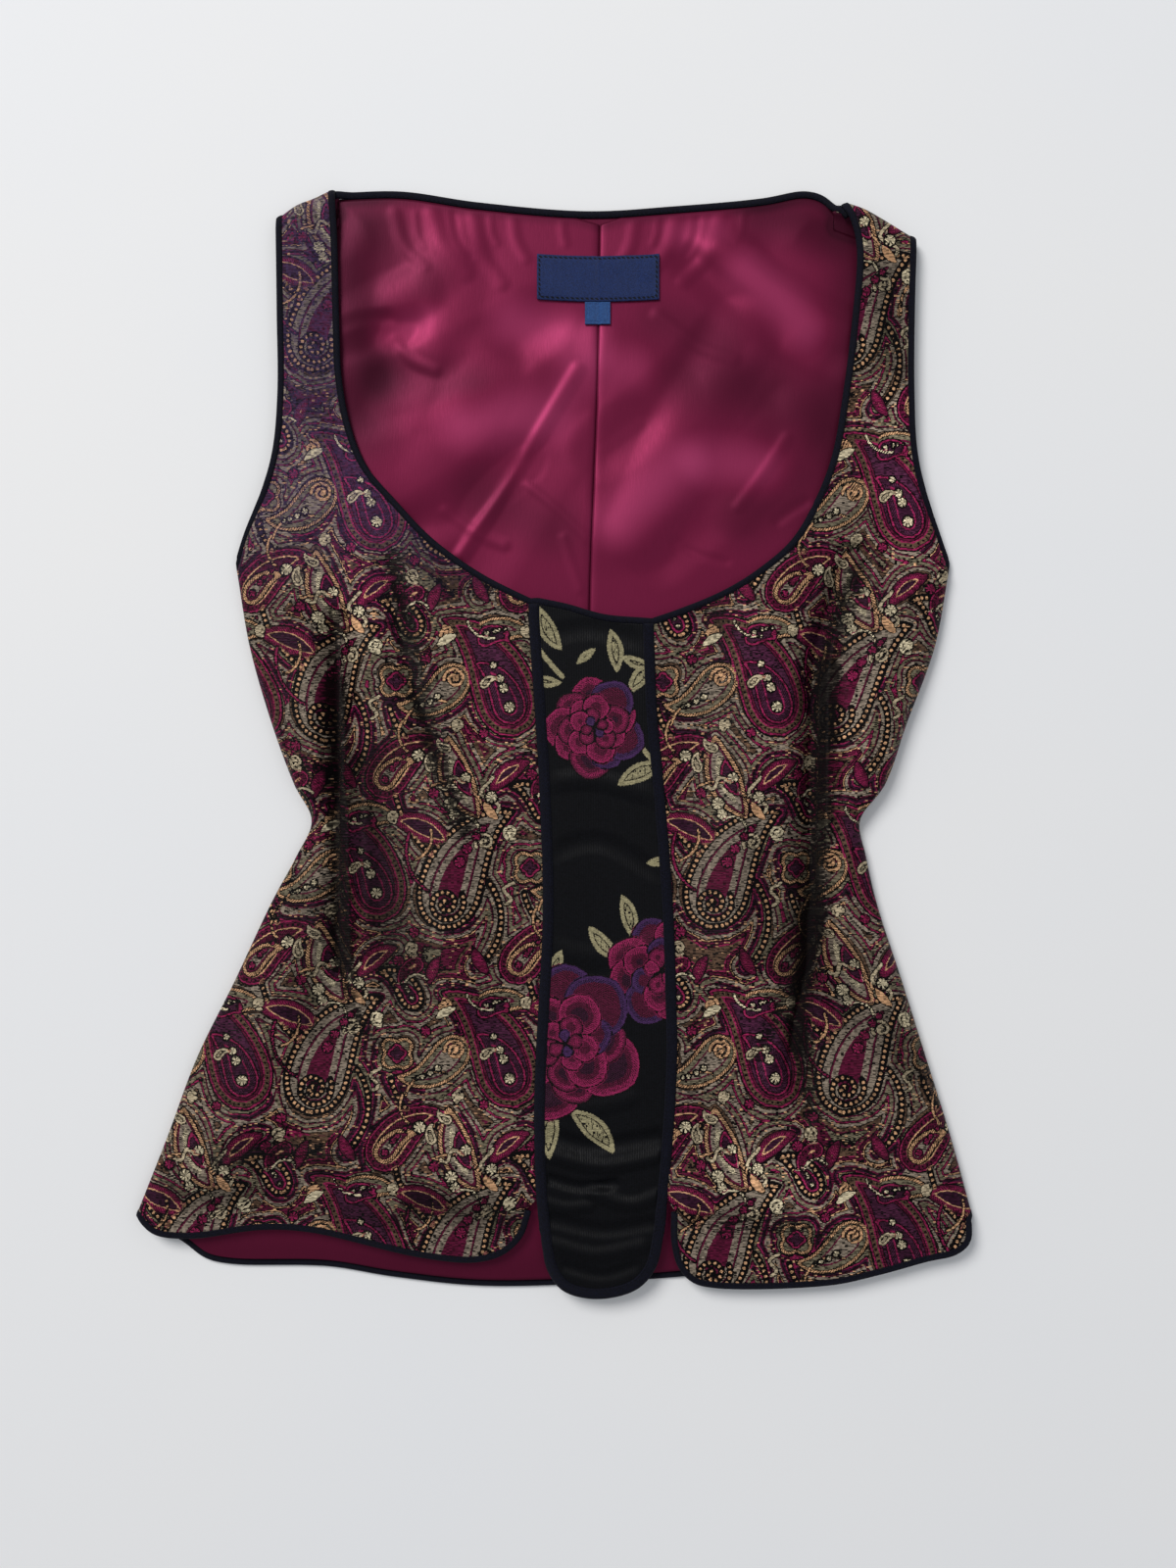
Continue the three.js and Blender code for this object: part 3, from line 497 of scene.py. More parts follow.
def arm_stops(length):
    """Where the solids' rows cross an edge above the armpit, as lengths from it."""
    up_to_roll = np.linspace(0, length - ROLL, ARM_ROWS + 1)
    return np.concatenate([up_to_roll, length - ROLL * ROLL_SHARES[::-1]])


def fine_rows(cell):
    """Row numbers of the solids, divided so that no step is much longer than the cell."""
    fold = rounded(column(SIDE_FOLDS, "left"))
    hole = rounded(column(ARMHOLES, "left"))
    spans = [np.diff(side_stops(running(fold)[-1])), np.diff(arm_stops(running(hole)[-1]))]
    counts = np.maximum(np.ceil(np.concatenate(spans) / cell), 2).astype(int)[:LAST_ROW]
    rows = [start + np.arange(count) / count for start, count in enumerate(counts)]
    rows = np.concatenate([*rows, [float(LAST_ROW)]])
    return rows if len(rows) % 2 else np.insert(rows, 1, rows[1] / 2)


def stops_at(rows, stops, first=0):
    """Lengths along an edge at row numbers, which may lie between the solids' rows."""
    return np.interp(rows - first, np.arange(len(stops)), stops)


def joined(lower, upper, distances):
    """A lower path continued by an upper one, which is drawn to its end over JOIN_REACH."""
    pull = (lower[-1] - upper[0]) * (1 - np.clip(distances / JOIN_REACH, 0, 1))[:, None]
    return np.vstack([lower, (upper + pull)[1:]])


def outer_edge(side, rows, hole_inset):
    """Up the side fold, then round the armhole."""
    fold = rounded(column(SIDE_FOLDS, side))
    hole = rounded(column(ARMHOLES, side))
    low, high = rows[rows <= ARMPIT], rows[rows >= ARMPIT]
    lower = along(fold, stops_at(low, side_stops(running(fold)[-1])))
    distances = stops_at(high, arm_stops(running(hole)[-1]), ARMPIT)
    turned = -hole_inset if side == "left" else hole_inset
    return joined(lower, inset(along(hole, distances), turned), distances)


# ---------------------------------------------------------------- grids of the cloth


def normals(grid, flip=False):
    """Unit directions out of a grid's face."""
    across, up = np.gradient(grid, axis=1), np.gradient(grid, axis=0)
    normal = np.cross(across, up)
    normal /= np.maximum(np.linalg.norm(normal, axis=-1, keepdims=True), 1e-9)
    return -normal if flip else normal


def reach_in(grid, edge):
    """Distance of each point from the edge point of its row or column."""
    return np.linalg.norm(grid - edge, axis=-1)


def front_grid(side, cell):
    """A front's face, column 0 at the side and the last column at the centre, and its row numbers.

    The hem runs along row 0 and turns up into the last column over the first rows.
    """
    turned = -1.0 if side == "left" else 1.0
    rows = fine_rows(cell)
    outer = outer_edge(side, rows, BINDING_INSET)
    hem_points = LEFT_HEM if side == "left" else RIGHT_HEM[::-1]
    hem_line = inset(even(rounded(hem_points), 400), -turned * BINDING_INSET)
    turn = np.argmax((hem_line[:, 0] - HEM_TURN[side]) * turned < 0)
    corner = hem_line[turn:]
    table = CENTRE_EDGES[CENTRE_EDGES[:, 0] >= CENTRE_START]
    centre = inset(rounded(column(table, side)), -turned * CENTRE_GAP)
    neck_path = rounded(LEFT_NECK if side == "left" else RIGHT_NECK)
    low, high = rows[rows <= ARMPIT], rows[rows >= ARMPIT]
    last_turn = len(TURN_STEPS) - 1
    up_turn = along(corner, running(corner)[-1] * np.clip(low / last_turn, 0, 1))
    centre_stops = np.linspace(TURN_END - TURN_STEPS[-1], running(centre)[-1], SIDE_ROWS + 1)
    up_centre = along(centre, stops_at(low, centre_stops, len(TURN_STEPS)))
    on_centre = np.clip(low - last_turn, 0, 1)[:, None]
    distances = stops_at(high, arm_stops(running(neck_path)[-1]), ARMPIT)
    neckline = inset(along(neck_path, distances), -turned * BINDING_INSET)
    inner = joined(up_turn * (1 - on_centre) + up_centre * on_centre, neckline, distances)
    hem = np.vstack([outer[:1], hem_line[1 : turn + 1]])
    shoulder = SHOULDERS[side] if side == "left" else SHOULDERS[side][::-1]
    top = fitted(even(rounded(shoulder), 60), outer[-1], inner[-1])
    width = np.linalg.norm(outer - inner, axis=1)[:, None]
    roll = ROLL / width
    roll_shares = 1 - np.cos(np.linspace(0, math.pi / 2, 9))[:-1]
    rest = np.linspace(0, 1, even_count(FRONT_WIDTH, cell) + 1)
    stations = np.hstack([roll_shares * roll, roll + rest * (1 - roll)])
    return patch(outer, inner, hem, top, stations), rows


def front_heights(plan, rows):
    """The rise of a front: it rolls up from the side and shoulder seams and sinks at free edges."""
    past = (rows - ARMPIT)[:, None]
    outer, inner = reach_in(plan, plan[:, :1]), reach_in(plan, plan[:, -1:])
    top, bottom = reach_in(plan, plan[-1:]), reach_in(plan, plan[:1])
    fade = smooth(past / 2)
    side = quarter_circle(outer / ROLL) * (1 - fade) + fade
    shoulder = quarter_circle(top / ROLL)
    armhole = fade * (1 - smooth(outer / EDGE_DROP_REACH))
    neck = smooth(past / 3) * (1 - smooth(inner / EDGE_DROP_REACH))
    hem = HEM_DROP * (1 - smooth(bottom / EDGE_DROP_REACH))
    calm = smooth(np.minimum(np.minimum(outer, inner), bottom) / CALM_REACH)
    details = fold_height(DART_VALLEYS, plan, sharp=True) + fold_height(FRONT_CREASES, plan)
    rise = FRONT_LIFT - FOLD_LEVEL - hem + fold_height(FRONT_FOLDS, plan, corners_only=True)
    rise = rise + details * calm + fold_height(SEAM_LINES, plan, sharp=True)
    height = rise * side * shoulder * (1 - EDGE_DROP * np.maximum(armhole, neck))
    return np.maximum(FOLD_LEVEL + SEAM_GAP / 2 + height, LOWEST_FRONT)


def back_neckline():
    """The back's cloth at the neck, inside its binding."""
    return inset(even(rounded(BACK_NECK), NECK_STEPS), -BINDING_INSET)


def back_grid(cell):
    """The back's underside, with the row numbers and the stations of its columns in the solids."""
    rows = fine_rows(cell)
    hole_inset = BINDING_INSET + BACK_ARMHOLE_STEP
    left, right = (outer_edge(side, rows, hole_inset) for side in ("left", "right"))
    hem = inset(even(rounded(BACK_HEM), 300), BINDING_INSET)
    neckline = back_neckline()
    straps = [
        fitted(even(rounded(SHOULDERS["left"]), STRAP_STEPS), left[-1], neckline[0]),
        fitted(even(rounded(SHOULDERS["right"]), STRAP_STEPS), neckline[-1], right[-1]),
    ]
    top = np.vstack([straps[0], neckline[1:-1], straps[1]])
    top_shares = shares(top)
    neck = top_shares[STRAP_STEPS], top_shares[STRAP_STEPS + NECK_STEPS]
    width = np.linalg.norm(right - left, axis=1)[:, None]
    height = ((shares(left) + shares(right)) / 2)[:, None]
    roll, corner = ROLL / width, NECK_CORNER / width
    t = np.linspace(0, 1, BACK_COLUMNS + 1)
    bottom_row = roll + t * (1 - 2 * roll)
    strap = np.linspace(0, 1, STRAP_COLUMNS + 1)
    middle = np.linspace(0, 1, BACK_COLUMNS - 2 * STRAP_COLUMNS - 1)
    top_row = np.hstack([
        roll + strap * (neck[0] - roll),
        neck[0] + corner + middle * (neck[1] - neck[0] - 2 * corner),
        neck[1] + strap * (1 - roll - neck[1]),
    ])
    rolls = ROLL_SHARES * roll
    coarse = np.hstack([rolls, bottom_row * (1 - height) + top_row * height, 1 - rolls[:, ::-1]])
    counts = [4] * 3 + [even_count(BACK_COLUMN, cell)] * BACK_COLUMNS + [4] * 3
    columns = np.concatenate([*[i + np.arange(n) / n for i, n in enumerate(counts)], [len(counts)]])
    low = np.minimum(columns.astype(int), len(counts) - 1)
    stations = coarse[:, low] * (1 - columns + low) + coarse[:, low + 1] * (columns - low)
    plan = patch(left, right, np.vstack([left[:1], hem[1:-1], right[:1]]), top, stations)
    return plan, rows, columns


def back_heights(plan, rows, columns):
    """The back lies flat and curls up to the side and shoulder seams."""
    last = columns[-1]
    neck_column = len(ROLL_SHARES) + STRAP_COLUMNS
    to_side = np.minimum(reach_in(plan, plan[:, :1]), reach_in(plan, plan[:, -1:]))
    to_side = np.where((rows <= ARMPIT)[:, None], to_side, ROLL)
    on_strap = (columns <= neck_column) | (columns >= last - neck_column)
    to_shoulder = np.where(on_strap[None], reach_in(plan, plan[-1:]), ROLL)
    curl = 1 - quarter_circle(np.minimum(to_side, to_shoulder) / ROLL)
    return (FOLD_LEVEL - SEAM_GAP / 2) * curl


def towards(points, targets, distance):
    """Points moved a distance towards others."""
    run = targets - points
    return points + run * np.reshape(distance, (-1, 1)) / np.linalg.norm(run, axis=1, keepdims=True)


def lining_grid(side, cell):
    """Half of the back's lining, column 0 at the side and the last column at the centre seam."""
    cloth, all_rows, columns = back_grid(cell)
    is_left = side == "left"
    if not is_left:
        cloth, columns = cloth[:, ::-1], (columns[-1] - columns)[::-1]
    kept = all_rows <= LINING_LAST_ROW
    rows, cloth_rows = all_rows[kept], cloth[kept]
    if len(rows) % 2 == 0:
        rows, cloth_rows = np.delete(rows, 1), np.delete(cloth_rows, 1, axis=0)
    margin = np.interp(
        rows, [ARMPIT, ARMPIT + 1, ARMPIT + 2], [LINING_MARGIN, LINING_MARGIN / 2, LINING_EDGE]
    )
    outer = towards(cloth_rows[:, 0], cloth_rows[:, -1], margin)
    outer[0] += (outer[1] - outer[0]) / np.linalg.norm(outer[1] - outer[0]) * LINING_EDGE
    seam_path = rounded(BACK_SEAM)
    seam = along(seam_path, running(seam_path)[-1] * rows / LINING_LAST_ROW)
    seam = inset(seam, (1 if is_left else -1) * SEAM_GAP / 2)
    sign = 1 if is_left else -1

    def short_of(points, end):
        return (end[0] - points[:, 0]) * sign > LINING_MARGIN

    hem = towards(cloth[0], cloth[1], LINING_EDGE)
    hem = hem[(columns > len(ROLL_SHARES)) & short_of(hem, seam[0])]
    neck = towards(cloth[-1], cloth[-2], LINING_EDGE)
    neck_column = len(ROLL_SHARES) + STRAP_COLUMNS
    neck = neck[(columns > neck_column) & short_of(neck, seam[-1])]
    strap_corner = cloth_rows[-1][np.argmin(np.abs(columns - neck_column))]
    bottom = np.vstack([outer[:1], hem, seam[:1]])
    top = np.vstack([outer[-1:], strap_corner[None], neck, seam[-1:]])
    stations = np.tile(np.linspace(0, 1, even_count(LINING_WIDTH, cell) + 1), (len(rows), 1))
    return patch(outer, seam, bottom, top, stations)


def lining_heights(plan, reach, seam_reach):
    """The rise of the lining: flat at its edges, with a shallow groove along the centre seam."""
    creases = fold_height(LINING_CREASES, plan) * smooth(reach / 16)
    gathers = fold_height(NECK_GATHERS, plan) * smooth(reach / 5)
    seam = -SEAM_GROOVE * np.exp(-((seam_reach / SEAM_HALF_WIDTH) ** 2))
    broad = fold_height(LINING_FOLDS, plan, corners_only=True) + fold_height(LINING_SWELLS, plan)
    lifted = smooth(reach / EDGE_DROP_REACH)
    rise = LINING_FILL + (lifted * broad + creases + gathers)
    eased = np.where(rise > 0, rise, HOLLOW_SHARE * rise)
    rounded_off = LINING_HIGHEST * np.tanh(eased / LINING_HIGHEST)
    return LINING_TOP - LINING_FILL * (1 - lifted) + rounded_off - 0.1 * lifted + seam


def panel_grid(cell):
    """The centre panel, inside the binding of its sides and its round lower end."""
    count, wide = even_count(PANEL_LENGTH, cell), even_count(PANEL_WIDTH, cell)
    width = PANEL_BINDING + SEAM_GAP
    left = inset(even(rounded(column(CENTRE_EDGES, "left")), count), -width)
    right = inset(even(rounded(column(CENTRE_EDGES, "right")), count), width)
    bottom = fitted(inset(even(rounded(TONGUE), 120), width), left[0], right[0])
    neckline = inset(even(rounded(MIDDLE_NECK), 60), -BINDING_INSET)
    left[-1, 1], right[-1, 1] = neckline[0, 1], neckline[-1, 1]
    top = fitted(neckline, left[-1], right[-1])
    stations = np.tile(np.linspace(0, 1, wide + 1), (count + 1, 1))
    return patch(left, right, bottom, top, stations)


def raised(plan, heights):
    """A grid in the plane with its heights, in the frame."""
    return np.dstack([plan - ORIGIN_SHIFT, heights])


# ---------------------------------------------------------------- meshes


def new_object(name, vertices, faces, materials, face_materials=None):
    mesh = bpy.data.meshes.new(name)
    mesh.from_pydata((vertices * MM).tolist(), [], faces)
    for material in materials:
        mesh.materials.append(material)
    if face_materials is not None:
        mesh.polygons.foreach_set("material_index", np.asarray(face_materials, np.int32))
    mesh.polygons.foreach_set("use_smooth", np.ones(len(mesh.polygons), bool))
    mesh.validate()
    mesh.update()
    made = bpy.data.objects.new(name, mesh)
    bpy.context.scene.collection.objects.link(made)
    return made


def set_vectors(obj, name, values):
    """Keeps three numbers a vertex, or two and a zero, for the materials to read."""
    values = np.asarray(values, np.float32)
    values = np.pad(values, ((0, 0), (0, 3 - values.shape[1])))
    layer = obj.data.attributes.new(name, "FLOAT_VECTOR", "POINT")
    layer.data.foreach_set("vector", values.ravel())


def each(items, kind, field, width=1):
    """One field of all of a mesh's items, as an array."""
    values = np.zeros(len(items) * width, kind)
    items.foreach_get(field, values)
    return values


def rim_of(rows, columns):
    """Vertex numbers round a grid, in order."""
    rim = [(0, i) for i in range(columns - 1)]
    rim += [(r, columns - 1) for r in range(rows - 1)]
    rim += [(rows - 1, i) for i in range(columns - 1, 0, -1)]
    rim += [(r, 0) for r in range(rows - 1, 0, -1)]
    return rim


def quads(rows, columns, offset=0, flip=False):
    """The faces of a grid whose vertices are numbered row by row from an offset."""
    index = np.arange(rows * columns).reshape(rows, columns) + offset
    corners = [index[:-1, :-1], index[:-1, 1:], index[1:, 1:], index[1:, :-1]]
    faces = np.stack(corners, -1).reshape(-1, 4)
    return faces[:, ::-1] if flip else faces


def shell(name, upper, thickness, materials, flip=False):
    """Closed cloth from its upper grid: the underside has every second point, and a rim joins them.

    The last material is the underside's.
    """
    rows, columns = upper.shape[:2]
    under = (upper - thickness * normals(upper, flip))[::2, ::2]
    low_rows, low_columns = under.shape[:2]
    faces = quads(rows, columns, flip=flip).tolist()
    top_count = len(faces)
    faces += quads(low_rows, low_columns, rows * columns, not flip).tolist()
    rim = rim_of(rows, columns)
    numbers = [r * columns + i for r, i in rim]
    low = [rows * columns + (r // 2) * low_columns + i // 2 for r, i in rim[::2]]
    for k in range(0, len(rim), 2):
        a, b, c = numbers[k], numbers[k + 1], numbers[(k + 2) % len(rim)]
        face = [c, b, a, low[k // 2], low[(k // 2 + 1) % len(low)]]
        faces.append(face[::-1] if flip else face)
    vertices = np.vstack([upper.reshape(-1, 3), under.reshape(-1, 3)])
    inside = np.full((low_rows - 1, low_columns - 1), len(materials) - 1)
    inside[:, [0, -1]] = 0
    face_materials = [0] * top_count + inside.ravel().tolist()
    face_materials += [0] * (len(faces) - len(face_materials))
    made = new_object(name, vertices, faces, materials, face_materials)
    bake_layout(made, vertices, rows * columns)
    return made


def bake_layout(obj, vertices, upper_count):
    """A flat layout for baking: the upper face on the left, the underside beside it."""
    low, high = vertices[:, :2].min(0), vertices[:, :2].max(0)
    size = (high - low).max()
    place = (vertices[:, :2] - low) / size * 0.98 + 0.01
    place[:, 0] *= 0.5
    place[upper_count:, 0] += 0.5
    corners = each(obj.data.loops, np.int32, "vertex_index")
    layer = obj.data.uv_layers.new(name="OFBake")
    layer.data.foreach_set("uv", place[corners].astype(np.float32).ravel())


# ---------------------------------------------------------------- bindings

# Half of a binding's rounded section: out from the cloth's edge in shares of its width, and up in
# shares of its thickness. It starts a little way in over the cloth.
BINDING_SECTION = [
    (-0.1, 0.3), (-0.04, 0.46), (0.12, 0.52), (0.42, 0.53), (0.66, 0.44), (0.8, 0.24), (0.86, 0),
]
BINDING_THICK = 2.5
CORNER_REACH = 9.0  # a binding turns to meet a corner over this length
# The neck's and the panel's trims are a little wider than their solids, to cover the cloth's edge
NECK_TRIM = BINDING + 0.5
PANEL_TRIM = PANEL_BINDING + 0.6
# The back's neck trim goes on past the ends of its cloth by these steps, and climbs to the straps by
# NECK_CLIMB over a length of STRAP_CLIMB
NECK_BEFORE = [(-3.2, -1.6), (-1.5, -0.6)]
NECK_AFTER = [(2.4, -0.2), (4.6, -1.8), (6.4, -4.6)]
NECK_CLIMB, STRAP_CLIMB = 3.2, 14.0


def stepped(points, directions, cell):
    """An edge and the directions at it, in even steps of about the cell."""
    sums = running(points)
    stops = np.linspace(0, sums[-1], max(int(sums[-1] / cell), 4) + 1)
    both = [
        np.stack([np.interp(stops, sums, values[:, k]) for k in range(3)], -1)
        for values in (points, directions)
    ]
    return both[0], both[1] / np.linalg.norm(both[1], axis=1, keepdims=True), stops


def binding(name, points, ups, cloth_on, finish, width=BINDING, corners=(None, None), lift=0.0):
    """A folded strip round the edge of cloth that lies to the left or right of the edge's run."""
    points, ups, stops = stepped(points, ups, BINDING_CELL)
    run = np.gradient(points, axis=0)
    out = np.cross(run, ups)
    out[:, 2] = 0
    out *= (1 if cloth_on == "left" else -1) * width / np.linalg.norm(out, axis=1, keepdims=True)
    for corner, near, i in ((corners[0], stops, 0), (corners[1], stops[-1] - stops, -1)):
        if corner is not None:
            to_corner = np.array([*(np.asarray(corner) - ORIGIN_SHIFT), 0]) - points[i] * [1, 1, 0]
            to_corner *= 1 - SEAM_GAP / np.linalg.norm(to_corner)
            weight = (1 - smooth(near / CORNER_REACH))[:, None]
            out = out * (1 - weight) + to_corner * weight
    flatness = np.clip(ups[:, 2], 0, 1)[:, None]
    thick = CLOTH + (BINDING_THICK - CLOTH) * flatness
    centre = points + [0, 0, 1] * (lift * flatness)
    half = np.array(BINDING_SECTION)
    section = np.vstack([half, (half * [1, -1])[-2::-1]])
    wave = 1 + 0.05 * np.sin(stops / 5.3) * np.sin(stops / 2.1 + 1)
    grid = np.stack([centre + out * side + ups * up * thick * wave[:, None] for side, up in section], 1)
    ring = len(section)
    index = np.arange(grid.shape[0] * ring).reshape(grid.shape[0], ring)
    after = np.roll(index, -1, axis=1)
    faces = np.stack([index[:-1], after[:-1], after[1:], index[1:]], -1).reshape(-1, 4)
    faces = faces if cloth_on == "left" else faces[:, ::-1]
    ends = [index[0][::-1].tolist(), index[-1].tolist()]
    ends = ends if cloth_on == "left" else [end[::-1] for end in ends]
    made = new_object(name, grid.reshape(-1, 3), faces.tolist() + ends, [finish])
    length = np.repeat(stops[:, None], ring, 1)
    across = np.tile(section[:, 0] * width, (len(stops), 1))
    set_vectors(made, "cloth", np.dstack([length, across]).reshape(-1, 2))
    strip_layout(made, stops[-1], ring)
    return made


def strip_layout(obj, length, ring):
    """A layout for baking: the strip is wound into a few rows."""
    turns = 8
    mesh = obj.data
    layer = mesh.uv_layers.new(name="OFBake")
    corners = each(mesh.loops, np.int32, "vertex_index")
    cloth = each(mesh.attributes["cloth"].data, np.float32, "vector", 3)
    run = cloth.reshape(-1, 3)[corners, 0] / length * turns
    around = (corners % ring) / ring
    starts, totals = (each(mesh.polygons, np.int32, field) for field in ("loop_start", "loop_total"))
    lowest = np.minimum.reduceat(run, starts)
    wraps = np.maximum.reduceat(around, starts) - np.minimum.reduceat(around, starts) > 0.5
    row = np.repeat(np.minimum(np.floor(lowest + 1e-4), turns - 1), totals)
    around = np.where(np.repeat(wraps, totals) & (around < 0.5), around + 1, around)
    place = np.stack([(run - row) * 0.96 + 0.01, (row + 0.04 + around * 0.84) / turns], -1)
    layer.data.foreach_set("uv", np.clip(place, 0, 1).astype(np.float32).ravel())


# ---------------------------------------------------------------- woven patterns

# The jacquard repeats on a half-drop lattice of these steps
HALF_DROP = np.array([(77.0, 107.6), (77.0, -107.6)])
LATTICE_COUNT = 10
LATTICE_MARGIN = 210  # more than a motif's largest distance from its copy's origin
REACH = 12.0  # how far outside a motif its contour is followed


def turned(points, angle):
    """Points turned about the origin, in degrees."""
    c, s = math.cos(math.radians(angle)), math.sin(math.radians(angle))
    return np.asarray(points) @ np.array([(c, s), (-s, c)])


# A teardrop's bulb: its half width as a share of the size, and where along the spine it ends
BULB, BULB_END = 0.21, 0.27


def polar(angle, radius):
    """Points at angles and distances round the origin."""
    return np.stack([np.cos(angle), np.sin(angle)], -1) * np.reshape(radius, (-1, 1))


def bent_line(size, curl, bend):
    """A line of equal steps that sets off upwards and has turned by these shares of its curl."""
    return np.cumsum(polar(math.pi / 2 - np.radians(curl) * bend, size) / len(bend), axis=0)


def swept_outline(spine, radii):
    """The closed outline of a form with a spine and a half width at each of its points."""
    radii = radii[:, None] + 0.01
    return np.vstack([inset(spine, radii), inset(spine, -radii)[::-1]])


def boteh_spine(size, curl):
    """The middle line of a teardrop, from its bulb at the origin to a tip that bends over."""
    return bent_line(size, curl, np.linspace(0, 1, 30) ** 2) - [0, size * BULB]


def boteh_outline(size, curl):
    t = np.linspace(0, 1, 30)
    bulb = np.sqrt(np.maximum(1 - (1 - t / BULB_END) ** 2, 0))
    tail = np.cos((t - BULB_END) / (1 - BULB_END) * math.pi / 2) ** 0.85
    return swept_outline(boteh_spine(size, curl), size * BULB * np.where(t < BULB_END, bulb, tail))


def leaf_outline(size, curl):
    t = np.linspace(0, 1, 24)
    spine = bent_line(size, curl, t - 0.5) - [0, size * 0.5]
    return swept_outline(spine, size * 0.17 * np.sin(math.pi * t) ** 0.8)


def petal_outline(size, curl):
    """A broad petal that grows upwards from the origin."""
    t = np.linspace(0, 1, 28)
    return swept_outline(bent_line(size, curl, t), size * 0.42 * np.sin(math.pi * t**1.25) ** 0.62)


def lobed_outline(size, lobes, depth):
    angle = np.linspace(0, 2 * math.pi, 60, endpoint=False)
    return polar(angle, size * (1 - depth + depth * np.abs(np.cos(angle * lobes / 2))))


def spiral_line(size, curl):
    t = np.linspace(0, 1, 60)
    return polar(t * np.radians(curl), size * (0.06 + 0.94 * t))


def squiggle_line(size, curl):
    t = np.linspace(0, 1, 50)
    return np.stack([np.sin(t * np.radians(curl)) * size * 0.2, (t - 0.5) * size], -1)


def bow_line(size, curl):
    line = bent_line(size, curl, np.linspace(-0.5, 0.5, 40))
    return line - line.mean(0)


# The round beads of a band lie this far in from its edge
BEAD_DEPTH = 1.45
BEAD_RADIUS = 0.95
BEAD_PITCH = 3.3

# Each form's points for a size and a curl, and the half width of those that are drawn as lines
FORMS = {
    "boteh": (boteh_outline, None),
    "leaf": (leaf_outline, None),
    "petal": (petal_outline, None),
    "rosette": (lambda size, _: lobed_outline(size, 8, 0.22), None),
    "quatrefoil": (lambda size, _: lobed_outline(size, 4, 0.3), None),
    "spiral": (spiral_line, BEAD_DEPTH),
    "chain": (bow_line, BEAD_DEPTH),
    "coil": (spiral_line, 0.75),
    "squiggle": (squiggle_line, 0.85),
    "bow": (bow_line, 0.6),
    "stalk": (bow_line, 1.4),
}


def contour(points, outline, line_width):
    """Depth of points inside a form, negative outside, and the length along its edge next to them."""
    closed = line_width is None
    path = np.vstack([outline, outline[:1]]) if closed else outline
    sums = running(path)
    best = np.full(len(points), 1e9)
    place = np.zeros(len(points))
    inside = np.zeros(len(points), bool)
    for a, b, start, end in zip(path, path[1:], sums, sums[1:]):
        run = b - a
        length = run @ run
        if length < 1e-12:
            continue
        t = np.clip(((points - a) @ run) / length, 0, 1)
        gap = np.hypot(*(points - a - t[:, None] * run).T)
        nearer = gap < best
        best[nearer] = gap[nearer]
        place[nearer] = start + t[nearer] * (end - start)
        if closed and a[1] != b[1]:
            crossing = (points[:, 1] >= min(a[1], b[1])) & (points[:, 1] < max(a[1], b[1]))
            x = a[0] + (points[:, 1] - a[1]) / (b[1] - a[1]) * run[0]
            inside ^= crossing & (points[:, 0] < x)
    depth = np.where(inside, best, -best) if closed else line_width - best
    beads = max(round(sums[-1] / BEAD_PITCH), 1) * BEAD_PITCH
    return depth, place * beads / sums[-1]


def woven(points, motifs, repeats=True):
    """For each point the depth in its nearest motif, the place along that motif's edge, and its ink."""
    found = nothing_found(points)
    copies = lattice(points.min(0), points.max(0)) if repeats else np.zeros((1, 2))
    for kind, x, y, size, angle, curl, ink in motifs:
        form, line_width = FORMS[kind]
        outline = turned(form(size, abs(curl)) * [math.copysign(1, curl), 1], angle)
        radius = np.linalg.norm(outline, axis=1).max() + REACH
        for copy in copies:
            centre = np.array([x, y]) + copy
            near = np.flatnonzero(np.hypot(*(points - centre).T) < radius)
            if len(near) == 0:
                continue
            depth, place = contour(points[near] - centre, outline, line_width)
            deeper = depth > found[near, 0]
            inks = np.full(deeper.sum(), float(ink))
            found[near[deeper]] = np.stack([depth[deeper], place[deeper], inks], -1)
    return found


def nothing_found(points):
    found = np.zeros((len(points), 3), np.float32)
    found[:, 0] = -REACH
    return found


def lattice(low, high):
    """The copies of the repeat that a region can meet."""
    counts = range(-LATTICE_COUNT, LATTICE_COUNT)
    steps = [i * HALF_DROP[0] + j * HALF_DROP[1] for i in counts for j in counts]
    low, high = low - LATTICE_MARGIN, high + LATTICE_MARGIN
    return np.array([step for step in steps if np.all(step > low) and np.all(step < high)])


# Motifs of one repeat: form, x, y, size, turn, curl and ink. Inks are numbered as in INKS below.
FRAME, PLUM, HOOK, DARK, LOZENGE, STRIPES, CHAIN, CREAM, ROSE, STAR, DISC, LINE, SCROLL = range(13)
# Botehs: x, y, size, turn, curl, the ink of the frame, and the inks of its heart, bulb and spine
BOTEHS = [
    (20.4, 37.1, 87.2, -10, 62, FRAME, None, CHAIN, DISC),
    (57.5, 148.5, 87.2, 12, -58, PLUM, ROSE, None, STAR),
    (61.2, 0, 57.5, -30, 70, DARK, LOZENGE, None, DISC),
    (102.1, 59.4, 50.1, 148, 80, HOOK, None, LINE, STAR),
    (42.7, -22.3, 37.1, -66, 70, HOOK, ROSE, None, STAR),
    (78, 89.1, 35.3, 20, -80, FRAME, ROSE, None, STAR),
]
BODIES = [
    ("leaf", 108.6, 1.9, 55.7, 22, 40, LOZENGE),
    ("leaf", 83.5, -30.6, 42.7, 66, -40, STRIPES),
    ("quatrefoil", 68.7, 57.5, 10.7, 45, 0, HOOK),
    ("leaf", 57.5, 109.5, 31.6, -50, 50, STRIPES),
    ("chain", -2.8, 89.1, 61.2, 24, 60, CHAIN),
    ("chain", 48.3, 24.1, 55.7, -8, -90, CHAIN),
    ("chain", 79.8, 24.1, 52, 52, 80, CHAIN),
]
